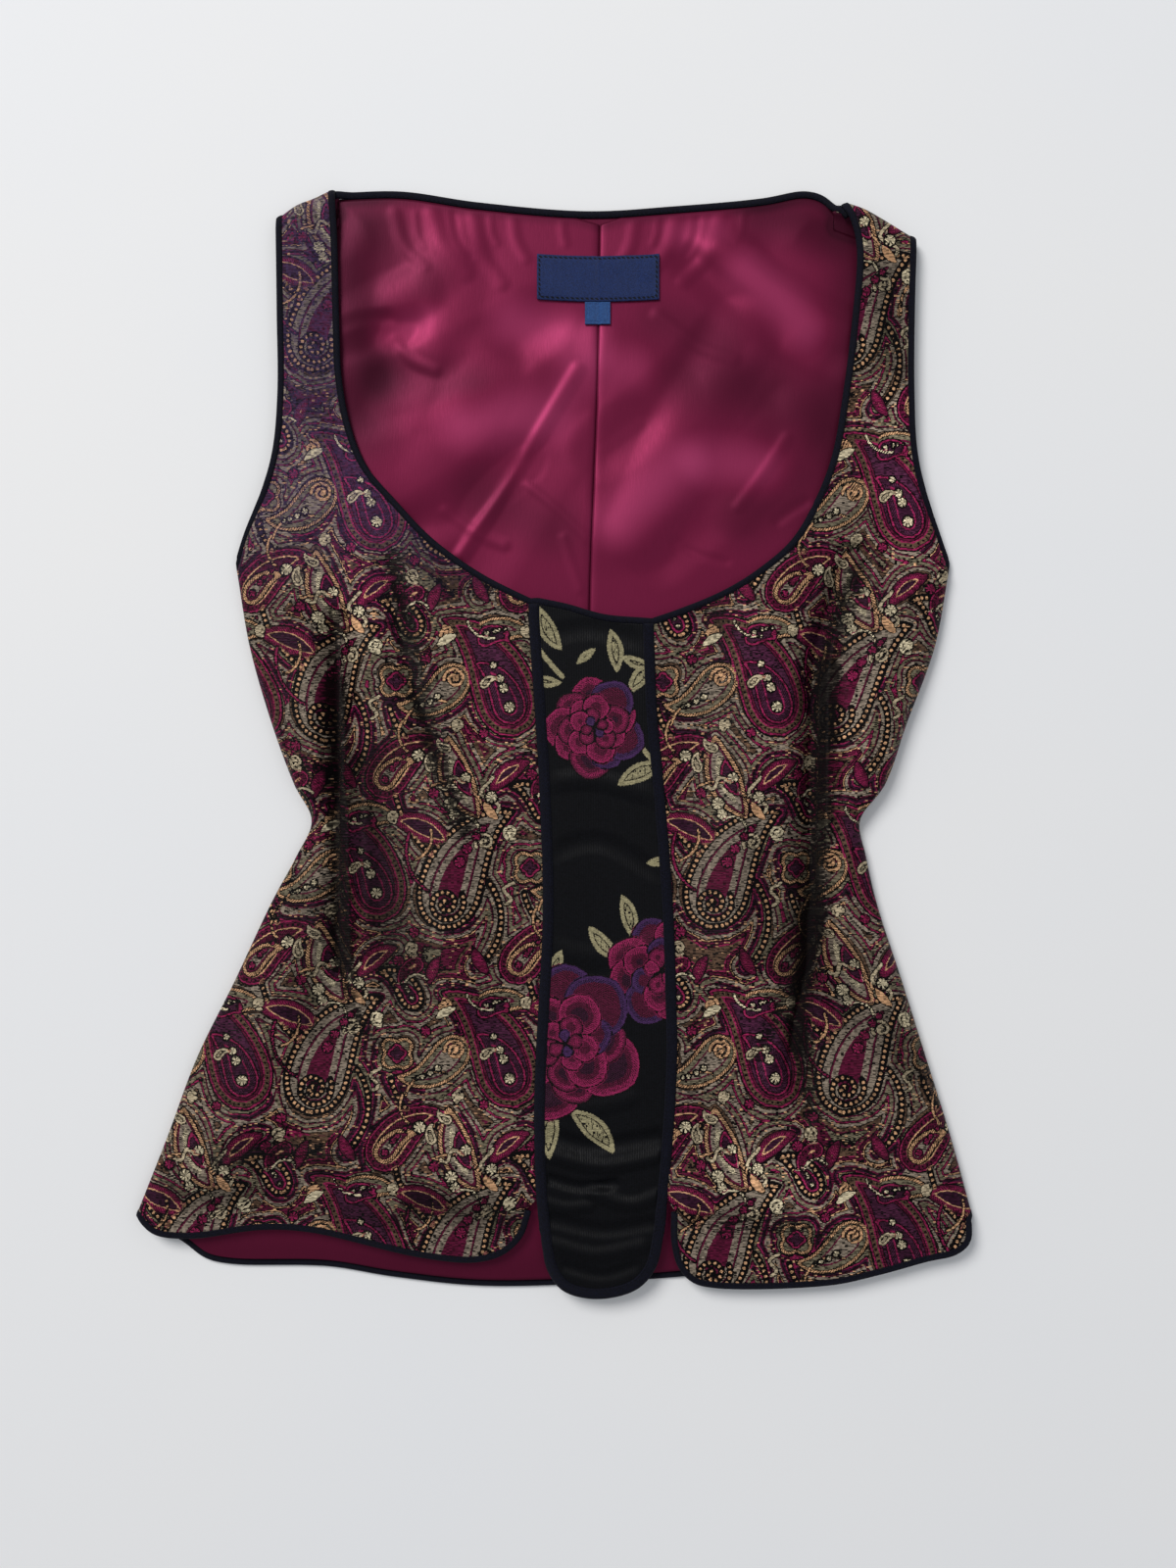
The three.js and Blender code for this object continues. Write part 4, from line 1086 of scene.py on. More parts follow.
SHAPES = [
    ("leaf", 108.6, 1.9, 24.1, 22, 40, ROSE),
    ("quatrefoil", 68.7, 57.5, 5.6, 0, 0, ROSE),
    ("coil", 42.7, 72.4, 5.6, -24, 600, SCROLL),
    ("boteh", 89.1, 7.4, 13.3, 34, 90, SCROLL),
    ("squiggle", 122.5, -9.3, 22.2, 10, 420, SCROLL),
    ("coil", 78, 118.8, 4.5, 60, 600, SCROLL),
    ("bow", 0.9, 59.4, 39, 20, 80, ROSE),
    ("bow", 83.5, 42.7, 31.6, -60, 100, LINE),
    ("bow", 27.8, 103.9, 33.4, 70, -90, LINE),
    ("coil", 57.5, 78, 4.6, 40, 620, CREAM),
    ("coil", 96.5, 85.4, 4.6, 200, 620, LINE),
    ("boteh", 118.8, 81.7, 20.4, -60, 80, ROSE),
    ("boteh", 3.7, 1.9, 22.3, 110, -80, DARK),
    ("leaf", 40.8, 3.7, 18.6, 30, 30, STRIPES),
    ("leaf", 90.9, 105.8, 18.6, -20, 30, STRIPES),
]
DETAILS = [
    ("rosette", 108.6, 1.9, 3.1, 0, 0, STAR),
    ("rosette", 81.7, 14.8, 3.5, 0, 0, STAR),
    ("rosette", 118.8, 27.8, 2.8, 0, 0, DISC),
    ("rosette", 46.4, 98.4, 3.4, 0, 0, STAR),
    ("rosette", 1.9, 20.4, 3, 0, 0, DISC),
    ("rosette", 85.4, 70.5, 3, 0, 0, DISC),
    ("rosette", 100.2, -13, 3.7, 0, 0, STAR),
    ("boteh", 98.4, 18.6, 12, 80, 90, SCROLL),
    ("squiggle", 55.7, 42.7, 13.4, -10, 420, SCROLL),
    ("coil", 66.8, -20.4, 3.6, 50, 600, SCROLL),
    ("bow", 79.8, 102.1, 16.7, -80, 120, CREAM),
    ("bow", 33.4, 85.4, 16.7, 70, -120, CREAM),
    ("boteh", 118.8, 55.7, 12, -30, 90, SCROLL),
    ("rosette", 69.6, 111.4, 3.2, 0, 0, DISC),
    ("rosette", 25.5, 88.2, 3, 0, 0, STAR),
    ("rosette", 90.5, -7, 3, 0, 0, DISC),
    ("leaf", 46.4, 90.5, 13.9, 40, 30, LINE),
    ("leaf", 97.4, 81.2, 13.9, -60, 30, CREAM),
    ("squiggle", 23.2, 106.7, 13, -70, 420, SCROLL),
    ("coil", 104.4, 32.5, 3.6, 20, 600, SCROLL),
    ("bow", 71.9, 25.5, 20.9, 10, 90, LINE),
    ("bow", 9.3, 69.6, 23.2, -30, -90, LINE),
    ("bow", 116, 85.8, 20.9, 60, 90, CREAM),
]


def on_spine(x, y, size, turn, curl, share):
    """A point of a boteh's spine."""
    spine = boteh_spine(size, abs(curl)) * [math.copysign(1, curl), 1]
    place = turned(spine[int(share * (len(spine) - 1))], turn)
    return x + place[0], y + place[1]


def with_botehs(layers):
    """Three layers of motifs, with each boteh's frame, its heart or bulb, and its row of rosettes."""
    for x, y, size, turn, curl, frame, heart, bulb, spine in BOTEHS:
        layers[0].append(("boteh", x, y, size, turn, curl, frame))
        if heart is not None:
            layers[1].append(("boteh", x, y, 0.52 * size, turn, curl, heart))
        if bulb is not None:
            kind = "spiral" if bulb == CHAIN else "coil"
            layers[1].append((kind, x, y, 0.125 * size, turn + 60, 700, bulb))
        first = 0.5 if bulb is not None else 0.24
        for i, share in enumerate((first, first + 0.11, first + 0.2, first + 0.28)):
            at = on_spine(x, y, size, turn, curl, share)
            layers[2].append(("rosette", *at, (0.037 - 0.005 * i) * size, 0, 0, spine))
    return layers


LAYERS = dict(zip(("bodies", "shapes", "details"), with_botehs([BODIES, SHAPES, DETAILS])))
PATTERN_SHIFT = np.array([6.0, 22.0])

# The centre panel's flowers, painted from back to front: form, x, y, size, turn, curl and ink
STEM, PETAL, DEEP, VIOLET = range(4)
LEAVES = [
    ("leaf", -2, 66, 30, 28, 30, STEM), ("stalk", -4, 48, 26, 40, 10, STEM),
    ("leaf", -5, 36, 20, 84, 10, STEM), ("leaf", 18, 50, 15, -50, 10, STEM),
    ("leaf", 34, 53, 27, 8, -20, STEM), ("leaf", 51, 38, 28, -40, 20, STEM),
    ("leaf", 48, 47, 20, 70, 20, STEM), ("stalk", 51, -2, 26, 34, 30, STEM),
    ("leaf", 50, -19, 32, -66, 30, STEM),
    ("leaf", 60, -69, 16, -82, 10, STEM), ("leaf", 42, -101, 28, 14, -20, STEM),
    ("leaf", 29, -116, 28, 42, 20, STEM), ("leaf", 1, -132, 26, -14, 20, STEM),
    ("leaf", -1, -226, 32, -6, 30, STEM), ("leaf", 21, -225, 38, -134, 30, STEM),
]
# Roses: centre, then rings of petals from the outside in: count, length, first direction and inks
ROSES = [
    (23, 9, [
        (9, 29, 10, [PETAL, DEEP, PETAL, PETAL, DEEP, VIOLET, VIOLET, PETAL, VIOLET]),
        (7, 21, 40, [PETAL, DEEP, PETAL, PETAL]), (5, 14, 0, [DEEP, PETAL, DEEP]),
        (4, 8, 30, [VIOLET, DEEP]),
    ]),
    (62, -132, [
        (8, 33, 20, [VIOLET, PETAL, PETAL, VIOLET, PETAL]), (6, 22, 60, [PETAL, VIOLET]),
        (5, 13, 10, [DEEP, PETAL]),
    ]),
    (6, -174, [
        (9, 42, 0, [VIOLET, PETAL, VIOLET, PETAL, PETAL, DEEP, PETAL, DEEP, VIOLET]),
        (7, 30, 25, [PETAL, VIOLET, PETAL, DEEP]), (5, 19, 50, [PETAL, DEEP, PETAL]),
        (4, 10, 20, [VIOLET, DEEP]),
    ]),
]


def rose_petals(x, y, rings):
    """Petals of uneven size, turned round the rose's centre."""
    petals = []
    for ring, (count, length, first, inks) in enumerate(rings):
        for i in range(count):
            uneven = math.sin(2.4 * i + 1.7 * ring + x)
            turn = first + (i + 0.22 * uneven) * 360 / count
            size = length * (1 + 0.13 * math.sin(3.1 * i + ring + y))
            petals.append(("petal", x, y, size, turn, 18 * uneven, inks[i % len(inks)]))
    return petals


FLOWERS = LEAVES + [petal for rose in ROSES for petal in rose_petals(*rose)]


def painted(points, motifs):
    """As woven, but a later motif covers an earlier one."""
    found = nothing_found(points)
    for motif in motifs:
        top = woven(points, [motif], repeats=False)
        covered = top[:, 0] > 0
        nearer = (found[:, 0] <= 0) & (top[:, 0] > found[:, 0])
        found[covered | nearer] = top[covered | nearer]
    return found


# ---------------------------------------------------------------- node helpers


def colour(code):
    """Linear colour of a #rrggbb code."""
    parts = [int(code[i : i + 2], 16) / 255 for i in (1, 3, 5)]
    return tuple(c / 12.92 if c <= 0.04045 else ((c + 0.055) / 1.055) ** 2.4 for c in parts) + (1.0,)


class Value:
    """The number at a socket of a node, so that sums of nodes are written as sums."""

    def __init__(self, nodes, socket):
        self.nodes = nodes
        self.socket = socket

    def __rsub__(self, other):
        return self.nodes.math("SUBTRACT", other, self)

    def between(self, low, high):
        """1 where the number lies between two others."""
        return (self > low) * (self < high)

    def scaled(self, low, high):
        """A share of 0 to 1 spread between two numbers."""
        return self.nodes.math("MULTIPLY_ADD", self, high - low, low)

    def turn(self, pitch):
        """How far along its pitch a length is, from 0 to 1."""
        return self.nodes.math("FRACT", self / pitch)

    def wave(self, pitch):
        return self.nodes.math("SINE", self * (2 * math.pi / pitch))


# The signs of Python that make a math node, and the two limits
for method, operation in {
    "__add__": "ADD", "__sub__": "SUBTRACT", "__mul__": "MULTIPLY", "__truediv__": "DIVIDE",
    "__pow__": "POWER", "__gt__": "GREATER_THAN", "__lt__": "LESS_THAN",
    "at_least": "MAXIMUM", "at_most": "MINIMUM",
}.items():
    setattr(Value, method, lambda self, other, name=operation: self.nodes.math(name, self, other))


class Nodes:
    """Short calls for the nodes of one tree."""

    def __init__(self, tree):
        self.tree = tree

    def add(self, kind, inputs=(), **settings):
        made = self.tree.nodes.new(kind)
        for name, value in settings.items():
            setattr(made, name, value)
        for key, value in dict(inputs).items():
            self.put(made.inputs[key], value)
        return made

    def put(self, socket, value):
        """Links a socket to another node's, or sets it to a plain value."""
        source = value.socket if isinstance(value, Value) else value
        if isinstance(source, bpy.types.NodeSocket):
            self.tree.links.new(source, socket)
        else:
            socket.default_value = source

    def math(self, operation, a, b=0.0, c=0.0):
        made = self.add("ShaderNodeMath", {0: a, 1: b, 2: c}, operation=operation)
        return Value(self, made.outputs[0])

    def mix(self, share, a, b, blend="MIX"):
        made = self.add("ShaderNodeMix", {0: share, 6: a, 7: b}, data_type="RGBA", blend_type=blend)
        return made.outputs[2]

    def dimmed(self, tone, share):
        """A colour multiplied by a number."""
        return self.mix(1.0, tone, self.vector(share, share, share), "MULTIPLY")

    def lit(self, tone, darkness):
        """A colour made darker, or lighter where the darkness is negative."""
        return self.dimmed(tone, (1.0 - darkness).at_least(LEAST_LIGHT))

    def attribute(self, name):
        """The three numbers of a vector that the mesh carries."""
        vector = self.add("ShaderNodeAttribute", attribute_name=name).outputs["Vector"]
        parts = self.add("ShaderNodeSeparateXYZ", {0: vector}).outputs
        return [Value(self, part) for part in parts]

    def vector(self, x, y=0.0, z=0.0):
        return self.add("ShaderNodeCombineXYZ", {0: x, 1: y, 2: z}).outputs[0]

    def place(self):
        return self.add("ShaderNodeTexCoord").outputs["Object"]

    def noise(self, vector, scale, detail=2.0):
        made = self.add("ShaderNodeTexNoise", {"Vector": vector, "Scale": scale, "Detail": detail})
        return Value(self, made.outputs[0])

    def cells(self, x, y, width, height, seed=0.0):
        """A random number for each cell of a grid."""
        corner = self.vector(self.math("FLOOR", x / width), self.math("FLOOR", y / height), seed)
        made = self.add("ShaderNodeTexWhiteNoise", {"Vector": corner}, noise_dimensions="3D")
        return Value(self, made.outputs[0])

    def ramp(self, value, stops):
        """Colour and alpha of the stop that a value has reached."""
        made = self.add("ShaderNodeValToRGB", {0: value})
        made.color_ramp.interpolation = "CONSTANT"
        elements = made.color_ramp.elements
        while len(elements) < len(stops):
            elements.new(0.5)
        for element, (place, tone) in zip(elements, stops):
            element.position = place
            element.color = tone
        return made.outputs[0], Value(self, made.outputs[1])


def material(name):
    made = bpy.data.materials.new(name)
    made.use_nodes = True
    made.node_tree.nodes.clear()
    nodes = Nodes(made.node_tree)
    shader = nodes.add("ShaderNodeBsdfPrincipled")
    nodes.add("ShaderNodeOutputMaterial", {0: shader.outputs[0]})
    return made, nodes, shader


def finish_surface(nodes, shader, base, roughness, height, bump, **fixed):
    """Colour, roughness and bump from nodes, and the values that are the same all over."""
    relief = nodes.add("ShaderNodeBump", {"Strength": bump, "Distance": BUMP_HEIGHT, "Height": height})
    linked = {"Base Color": base, "Roughness": roughness, "Normal": relief.outputs[0]}
    for key, value in linked.items():
        nodes.put(shader.inputs[key], value)
    for key, value in fixed.items():
        shader.inputs[key.replace("_", " ")].default_value = value


# ---------------------------------------------------------------- inks of the patterns

BLACK = "#080406"
THREADS = {
    "black": BLACK, "plum": "#36142a", "burgundy": "#5a1231", "magenta": "#8a1f4b",
    "purple": "#481f38", "taupe": "#8f8172", "olive": "#756c58", "gold": "#d3a37a",
    "cream": "#dccdab", "straw": "#bfae90", "brown": "#5f4839", "leaf": "#948c6c", "rose": "#8a214e",
    "wine": "#571532", "violet": "#40254f",
}
# How an ink is woven, held in the alpha of its band
NOTHING, STRIPED, BEADED, DASHED, RAYED, FLECKED, PLAIN = 0.0, 0.15, 0.3, 0.45, 0.6, 0.8, 1.0
# Bands lie between these depths in a motif
DEPTH_SPAN = 16.0
DEPTH_START = -2.0
# Bands of each ink from the edge inwards: depth where the band starts, thread, and weave if not plain
INKS = [
    [(-1.0, "black"), (0.0, "gold", BEADED), (2.9, "black"), (3.3, "taupe", FLECKED),
     (7.0, "black"), (7.4, "burgundy"), (8.4, "taupe", FLECKED), (12.0, "burgundy")],
    [(-1.0, "black"), (0.0, "magenta"), (1.0, "black"), (1.4, "brown", DASHED), (4.0, "magenta"),
     (4.9, "black"), (5.4, "burgundy"), (6.4, "black"), (6.9, "purple", FLECKED)],
    [(-0.9, "black"), (0.0, "gold", STRIPED), (1.5, "black"), (1.9, "olive", FLECKED),
     (4.4, "burgundy"), (5.3, "taupe", FLECKED)],
    [(-0.9, "black"), (0.0, "magenta"), (0.9, "black"), (1.4, "burgundy", DASHED), (4.0, "gold"),
     (4.7, "black"), (5.3, "burgundy", STRIPED)],
    [(-0.8, "black"), (0.0, "gold", STRIPED), (1.9, "black"), (2.4, "burgundy"),
     (3.4, "taupe", FLECKED), (6.0, "cream", STRIPED)],
    [(-0.8, "black"), (0.0, "burgundy"), (1.0, "magenta", STRIPED), (3.0, "gold"), (3.6, "plum")],
    [(-0.5, "black"), (0.0, "gold", BEADED)],
    [(-0.6, "black"), (0.0, "cream")],
    [(-0.8, "black"), (0.0, "magenta"), (1.0, "black"), (1.5, "purple", STRIPED), (4.6, "magenta"),
     (5.4, "plum")],
    [(-0.9, "black"), (0.0, "cream", RAYED), (2.4, "black"), (3.2, "cream")],
    [(-0.8, "black"), (0.0, "magenta", RAYED), (2.2, "black"), (3.0, "magenta")],
    [(-0.5, "black"), (0.0, "gold")],
    [(-0.6, "black"), (0.0, "straw"), (1.1, "black"), (1.6, "straw", STRIPED)],
]
FLOWER_INKS = [
    [(0.0, "leaf"), (2.3, "black"), (2.9, "leaf", FLECKED)],
    [(0.0, "black"), (0.9, "rose"), (2.0, "rose", STRIPED), (5.0, "wine", STRIPED),
     (8.0, "plum", STRIPED)],
    [(0.0, "black"), (0.9, "wine"), (2.0, "rose", STRIPED), (4.4, "wine", STRIPED),
     (7.0, "plum", STRIPED)],
    [(0.0, "black"), (0.8, "violet"), (2.4, "violet", STRIPED), (4.4, "wine", STRIPED)],
]


INK_INPUTS = ("Depth", "Place", "Ink", "Random")


def ink_group(name, inks):
    """A node group that turns depth, place, ink and a random number into thread colour and cover."""
    group = bpy.data.node_groups.new(name, "ShaderNodeTree")
    for label in INK_INPUTS:
        group.interface.new_socket(label, in_out="INPUT", socket_type="NodeSocketFloat")
    group.interface.new_socket("Colour", in_out="OUTPUT", socket_type="NodeSocketColor")
    group.interface.new_socket("Cover", in_out="OUTPUT", socket_type="NodeSocketFloat")
    nodes = Nodes(group)
    given = nodes.add("NodeGroupInput").outputs
    depth, place, ink, random = [Value(nodes, given[label]) for label in INK_INPUTS]
    tone, weave = band_reached(nodes, inks, depth, ink)
    dark = 0.0
    for code, gaps in weave_gaps(depth, place, random):
        dark = weave.between(code - 0.05, code + 0.05) * gaps + dark
    tone = nodes.mix(dark, tone, colour(BLACK))
    nodes.add("NodeGroupOutput", {"Colour": tone, "Cover": weave > 0.07})
    return group


def band_reached(nodes, inks, depth, ink):
    """Thread colour and weave of the band that a depth reaches, in the ink of that number."""
    share = (depth - DEPTH_START) / DEPTH_SPAN
    tone, weave = None, None
    for number, bands in enumerate(inks):
        stops = [(0.0, colour(BLACK)[:3] + (NOTHING,))]
        for start, thread, *woven_so in bands:
            alpha = woven_so[0] if woven_so else PLAIN
            stops.append(((start - DEPTH_START) / DEPTH_SPAN, colour(THREADS[thread])[:3] + (alpha,)))
        band_tone, band_weave = nodes.ramp(share, stops)
        if tone is None:
            tone, weave = band_tone, band_weave
            continue
        here = ink.between(number - 0.5, number + 0.5)
        tone = nodes.mix(here, tone, band_tone)
        weave = weave * (1.0 - here) + band_weave * here
    return tone, weave


def weave_gaps(depth, place, random):
    """Each weave, and where it leaves the black warp in sight."""
    turn = place.turn(BEAD_PITCH)
    from_bead = ((turn - 0.5) * BEAD_PITCH) ** 2.0 + (depth - BEAD_DEPTH) ** 2.0
    return [
        (STRIPED, (place + depth).turn(STRIPE_PITCH) > 0.66),
        (BEADED, from_bead > BEAD_RADIUS**2),
        (DASHED, (turn < 0.42) * depth.between(1.9, 3.3)),
        (RAYED, turn > 0.64),
        (FLECKED, random < 0.13),
    ]


def layer_of(nodes, group, name, jitter, random):
    """Thread colour, cover and depth of one layer of motifs."""
    depth, place, ink = nodes.attribute(name)
    made = nodes.add("ShaderNodeGroup", node_tree=group)
    for label, value in zip(INK_INPUTS, (depth + jitter, place, ink, random)):
        nodes.put(made.inputs[label], value)
    return made.outputs["Colour"], made.outputs["Cover"], depth


# ---------------------------------------------------------------- materials

LEAST_LIGHT = 0.28  # what the deepest painted shade leaves of a colour
BUMP_HEIGHT = 0.0006  # metres
PICK = 0.6  # height of one row of the jacquard's weft
STRIPE_PITCH = 1.65
FLOAT_PITCH = 2 * math.pi / 5.5  # of the slanting floats in the roses

# Bands of the ground between motifs, which echo their outlines: share of REACH and thread
GROUNDS = [
    [(0.0, "olive"), (0.10, "black"), (0.13, "burgundy"), (0.18, "brown"), (0.30, "black"),
     (0.33, "taupe"), (0.44, "black"), (0.47, "magenta"), (0.52, "black"), (0.55, "olive"),
     (0.68, "burgundy"), (0.73, "black"), (0.76, "taupe"), (0.88, "black"), (0.91, "brown")],
    [(0.0, "burgundy"), (0.10, "black"), (0.14, "brown"), (0.24, "magenta"), (0.29, "black"),
     (0.33, "burgundy"), (0.42, "black"), (0.45, "gold"), (0.48, "black"), (0.52, "taupe"),
     (0.63, "burgundy"), (0.69, "black"), (0.73, "plum"), (0.81, "magenta"), (0.86, "black"),
     (0.90, "olive")],
]


def jacquard_ground(nodes, plane, depth, jitter, random):
    """The bands between the motifs, in two sets of threads that take turns over the cloth."""
    wave = nodes.noise(plane, 0.03, 0.0).scaled(-4.0, 4.0)
    echo = (depth + wave + jitter + (REACH + 2)) / (REACH + 3)
    sets = []
    for bands in GROUNDS:
        tones, _ = nodes.ramp(echo, [(share, colour(THREADS[thread])) for share, thread in bands])
        sets.append(tones)
    ground = nodes.mix(nodes.noise(plane, 0.022, 0.0) > 0.5, *sets)
    ground = nodes.mix(random < 0.16, ground, colour(BLACK))
    return nodes.mix(random > 0.965, ground, colour(THREADS["gold"]))


def jacquard_material():
    """Paisley jacquard: taupe, gold, burgundy and cream wefts floating over a black warp."""
    made, nodes, shader = material("paisley_jacquard")
    x, y, _ = nodes.attribute("cloth")
    sheen, valley_shade, darkness = nodes.attribute("light")
    cell = nodes.cells(x, y, 1.3, PICK)
    second = nodes.cells(x, y, 1.6, PICK, 7.0)
    jitter = (cell - 0.5) * 0.5
    group = ink_group("jacquard_inks", INKS)
    tone, cover, depth = layer_of(nodes, group, "bodies", jitter, second)
    base = nodes.mix(cover, jacquard_ground(nodes, nodes.vector(x, y), depth, jitter, second), tone)
    for name in ("shapes", "details"):
        tone, cover, _ = layer_of(nodes, group, name, jitter, second)
        base = nodes.mix(cover, base, tone)
    base = nodes.dimmed(base, nodes.cells(x, y, 1.7, PICK, 3.0).scaled(0.22, 1.12))
    # Painted light and shade from the tone tables: the colour made darker, or lighter where the
    # darkness is negative
    base = nodes.lit(base, darkness)
    # Painted purple sheen near the left strap
    purple = sheen * nodes.cells(x, y, 1.5, 0.9, 5.0).scaled(0.1, 0.8)
    base = nodes.mix(purple, base, colour("#54406a"))
    # Painted shade in the folds' valleys: the colour goes to near black, with a ragged edge
    streaks = nodes.cells(x, y, 3.4, 0.7, 9.0).scaled(-0.45, 0.45)
    ragged = (valley_shade + streaks - 0.25) * 2.2
    valley_shade_share = ragged.at_least(0.0).at_most(0.94) * (valley_shade > 0.02)
    base = nodes.mix(valley_shade_share, base, colour("#080506"))
    height = y.wave(0.9) * 0.25 + cell * 0.9
    finish_surface(nodes, shader, base, second.scaled(0.4, 0.6), height, 0.45, Specular_IOR_Level=0.07)
    return made


def rose_material():
    """Black ribbed satin with roses and leaves."""
    made, nodes, shader = material("rose_jacquard")
    x, y, _ = nodes.attribute("cloth")
    cell = nodes.cells(x, y, 0.55, 0.5)
    second = nodes.cells(x, y, 0.5, 1.3, 7.0)
    group = ink_group("flower_inks", FLOWER_INKS)
    tone, cover, _ = layer_of(nodes, group, "bodies", (cell - 0.5) * 0.6, second)
    cover = Value(nodes, cover)
    rib = x.wave(0.95)
    ground = nodes.mix(rib.scaled(0.2, 0.5), colour("#040406"), colour("#0f1016"))
    base = nodes.mix(cover, ground, tone)
    base = nodes.dimmed(base, nodes.cells(x, y, 1.5, 0.55, 3.0).scaled(0.6, 1.2))
    floats = cover * (y + x * 0.5).wave(FLOAT_PITCH)
    height = rib * 0.4 + floats * 0.6 + cover
    finish_surface(nodes, shader, base, second.scaled(0.4, 0.55), height, 0.35, Specular_IOR_Level=0.1)
    return made


def satin_material():
    """Burgundy satin lining."""
    made, nodes, shader = material("satin_lining")
    place = nodes.place()
    threads = nodes.add("ShaderNodeMapping", {"Vector": place, "Scale": (1500, 160, 300)}).outputs[0]
    slub = nodes.noise(threads, 1.0)
    _, _, darkness = nodes.attribute("light")
    base = nodes.mix(nodes.noise(place, 14.0), colour("#6a1535"), colour("#761c3f"))
    base = nodes.mix(slub.scaled(0.0, 0.3), base, colour("#4e0c26"))
    # Painted light and shade: a pink painted highlight where the darkness is negative, then the colour
    # darkened or lightened by it
    lighter = (darkness * -1.0).at_least(0.0) * 0.25
    base = nodes.mix(lighter, base, colour("#a04a70"))
    base = nodes.lit(base, darkness)
    finish_surface(nodes, shader, base, slub.scaled(0.42, 0.5), slub, 0.06, Metallic=0.5,
                   Specular_IOR_Level=0.35, Specular_Tint=colour("#e8b0d4"))
    return made


def binding_material():
    """Navy-black ribbed binding with a row of stitches."""
    made, nodes, shader = material("ribbed_binding")
    length, across, _ = nodes.attribute("cloth")
    fuzz = nodes.cells(length, across, 0.5, 0.5)
    base = nodes.mix(fuzz.scaled(0.1, 0.9), colour("#07070d"), colour("#131422"))
    stitches = across.between(0.15, 0.6) * length.turn(2.6).between(0.0, 0.62)
    base = nodes.mix(stitches * 0.8, base, colour("#05050a"))
    height = (length + across * 0.6).wave(0.8) * 0.4 + fuzz - stitches
    finish_surface(nodes, shader, base, fuzz.scaled(0.55, 0.8), height, 0.5,
                   Specular_IOR_Level=0.08, Sheen_Weight=0.02, Sheen_Roughness=0.5)
    return made


def label_material(name, dark, light, edge):
    """Bare woven label, with a stitched edge where edge is 1."""
    made, nodes, shader = material(name)
    x, y, border = nodes.attribute("cloth")
    cell = nodes.cells(x, y, 0.5, 0.4)
    base = nodes.mix(cell.scaled(0.0, 1.0), colour(dark), colour(light))
    stitches = border.between(0.9, 2.0) * ((x + y).turn(2.8) < 0.6) * edge
    base = nodes.mix(stitches, base, colour("#05070f"))
    height = x.wave(0.55) * 0.5 + cell * 0.6 - stitches
    finish_surface(nodes, shader, base, cell.scaled(0.5, 0.7), height, 0.5, Specular_IOR_Level=0.2)
    return made


def floor_material():
    made, nodes, shader = material("pale_floor")
    base = nodes.mix(nodes.noise(nodes.place(), 3.0), colour("#e6e8ec"), colour("#ecebea"))
    nodes.put(shader.inputs["Base Color"], base)
    shader.inputs["Roughness"].default_value = 0.9
    shader.inputs["Specular IOR Level"].default_value = 0.1
    return made


# ---------------------------------------------------------------- pieces


def placed(obj, node):
    """A piece that stands for a node of the solids, in the one body there is."""
    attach(obj, "root")
    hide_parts(node)
    return obj


# Cloth taken in at each front's dart: the most, and the y of its middle and its half length
DART_INTAKES = {"left": (11, -30, 105), "right": (13, -55, 150)}
# Where the dart's seam runs: its x at some y
DART_SEAMS = {
    "left": ([0], [-125.3]),
    "right": ([-217, -138, -31, 54, 111], [145, 152, 153, 155, 175]),
}
# The painted purple sheen of the left strap: the most, where it starts, and the width over which it
# comes
SHEEN, SHEEN_LOW, SHEEN_RISE = 0.5, 70, 80
SHEEN_RIGHT, SHEEN_FADE = 20, 60


def cloth_coordinates(points, side):
    """Where each point lies in the woven cloth, which breaks at the dart's seam."""
    outwards = -1 if side == "left" else 1
    most, middle, half = DART_INTAKES[side]
    taken = most * smooth(1 - np.abs(points[:, 1] - middle) / half)
    seam = np.interp(points[:, 1], *DART_SEAMS[side])
    cloth = points.copy()
    cloth[:, 0] += outwards * np.where((points[:, 0] - seam) * outwards > 0, taken, 0)
    return cloth


def weave_attributes(obj, points, cloth, valley_shade, darkness):
    """The pattern's layers, the place in the cloth, and the painted purple sheen, painted valley shade
    and painted light and shade.
    """
    x, y = points.T
    shifted = cloth + PATTERN_SHIFT
    for name, motifs in LAYERS.items():
        set_vectors(obj, name, woven(shifted, motifs))
    set_vectors(obj, "cloth", cloth)
    # Painted purple sheen, strongest up and to the left
    sheen = SHEEN * smooth((y - SHEEN_LOW) / SHEEN_RISE) * smooth((SHEEN_RIGHT - x) / SHEEN_FADE)
    set_vectors(obj, "light", np.column_stack([sheen, valley_shade, darkness]))


def with_under(grid):
    """Values at the upper points of a shell, then at its underside's."""
    flat = grid.reshape(-1, *grid.shape[2:])
    return np.concatenate([flat, grid[::2, ::2].reshape(-1, *grid.shape[2:])])


def make_front(side, jacquard, satin):
    """A front, with its upper grid and its row numbers for the bindings."""
    plan, rows = front_grid(side, FRONT_CELL)
    upper = raised(plan, front_heights(plan, rows))
    flip = side == "right"
    made = shell(f"front_{side}_cloth", upper, CLOTH, [jacquard, satin], flip)
    points = with_under(plan)
    # Painted shade in the folds' valleys
    valleys = [(half * VALLEY_WIDENING, shade, path) for half, shade, path in DARK_VALLEYS]
    valley_shade = np.clip(fold_height(valleys, points), 0, 1)
    # Painted light and shade over the front
    shade = fold_height(FRONT_TONES, points)
    weave_attributes(made, points, cloth_coordinates(points, side), valley_shade, shade)
    placed(made, f"front_{side}")
    return made, upper, rows


def make_back(jacquard, satin):
    """The back, built from its underside, with that grid and its row numbers for the bindings."""
    plan, rows, columns = back_grid(BACK_CELL)
    lower = raised(plan, back_heights(plan, rows, columns))
    made = shell("back_cloth", lower, CLOTH, [jacquard, satin], flip=True)
    points = with_under(plan)
    # Painted light and shade on the inside face, with EDGE_SHADE of painted shade all over it; none on
    # the outside
    shade = fold_height(LINING_TONES, points) + EDGE_SHADE
    shade[: plan[..., 0].size] = 0
    weave_attributes(made, points, points * [-1, 1], 0 * shade, shade)
    placed(made, "back")
    return made, lower, rows


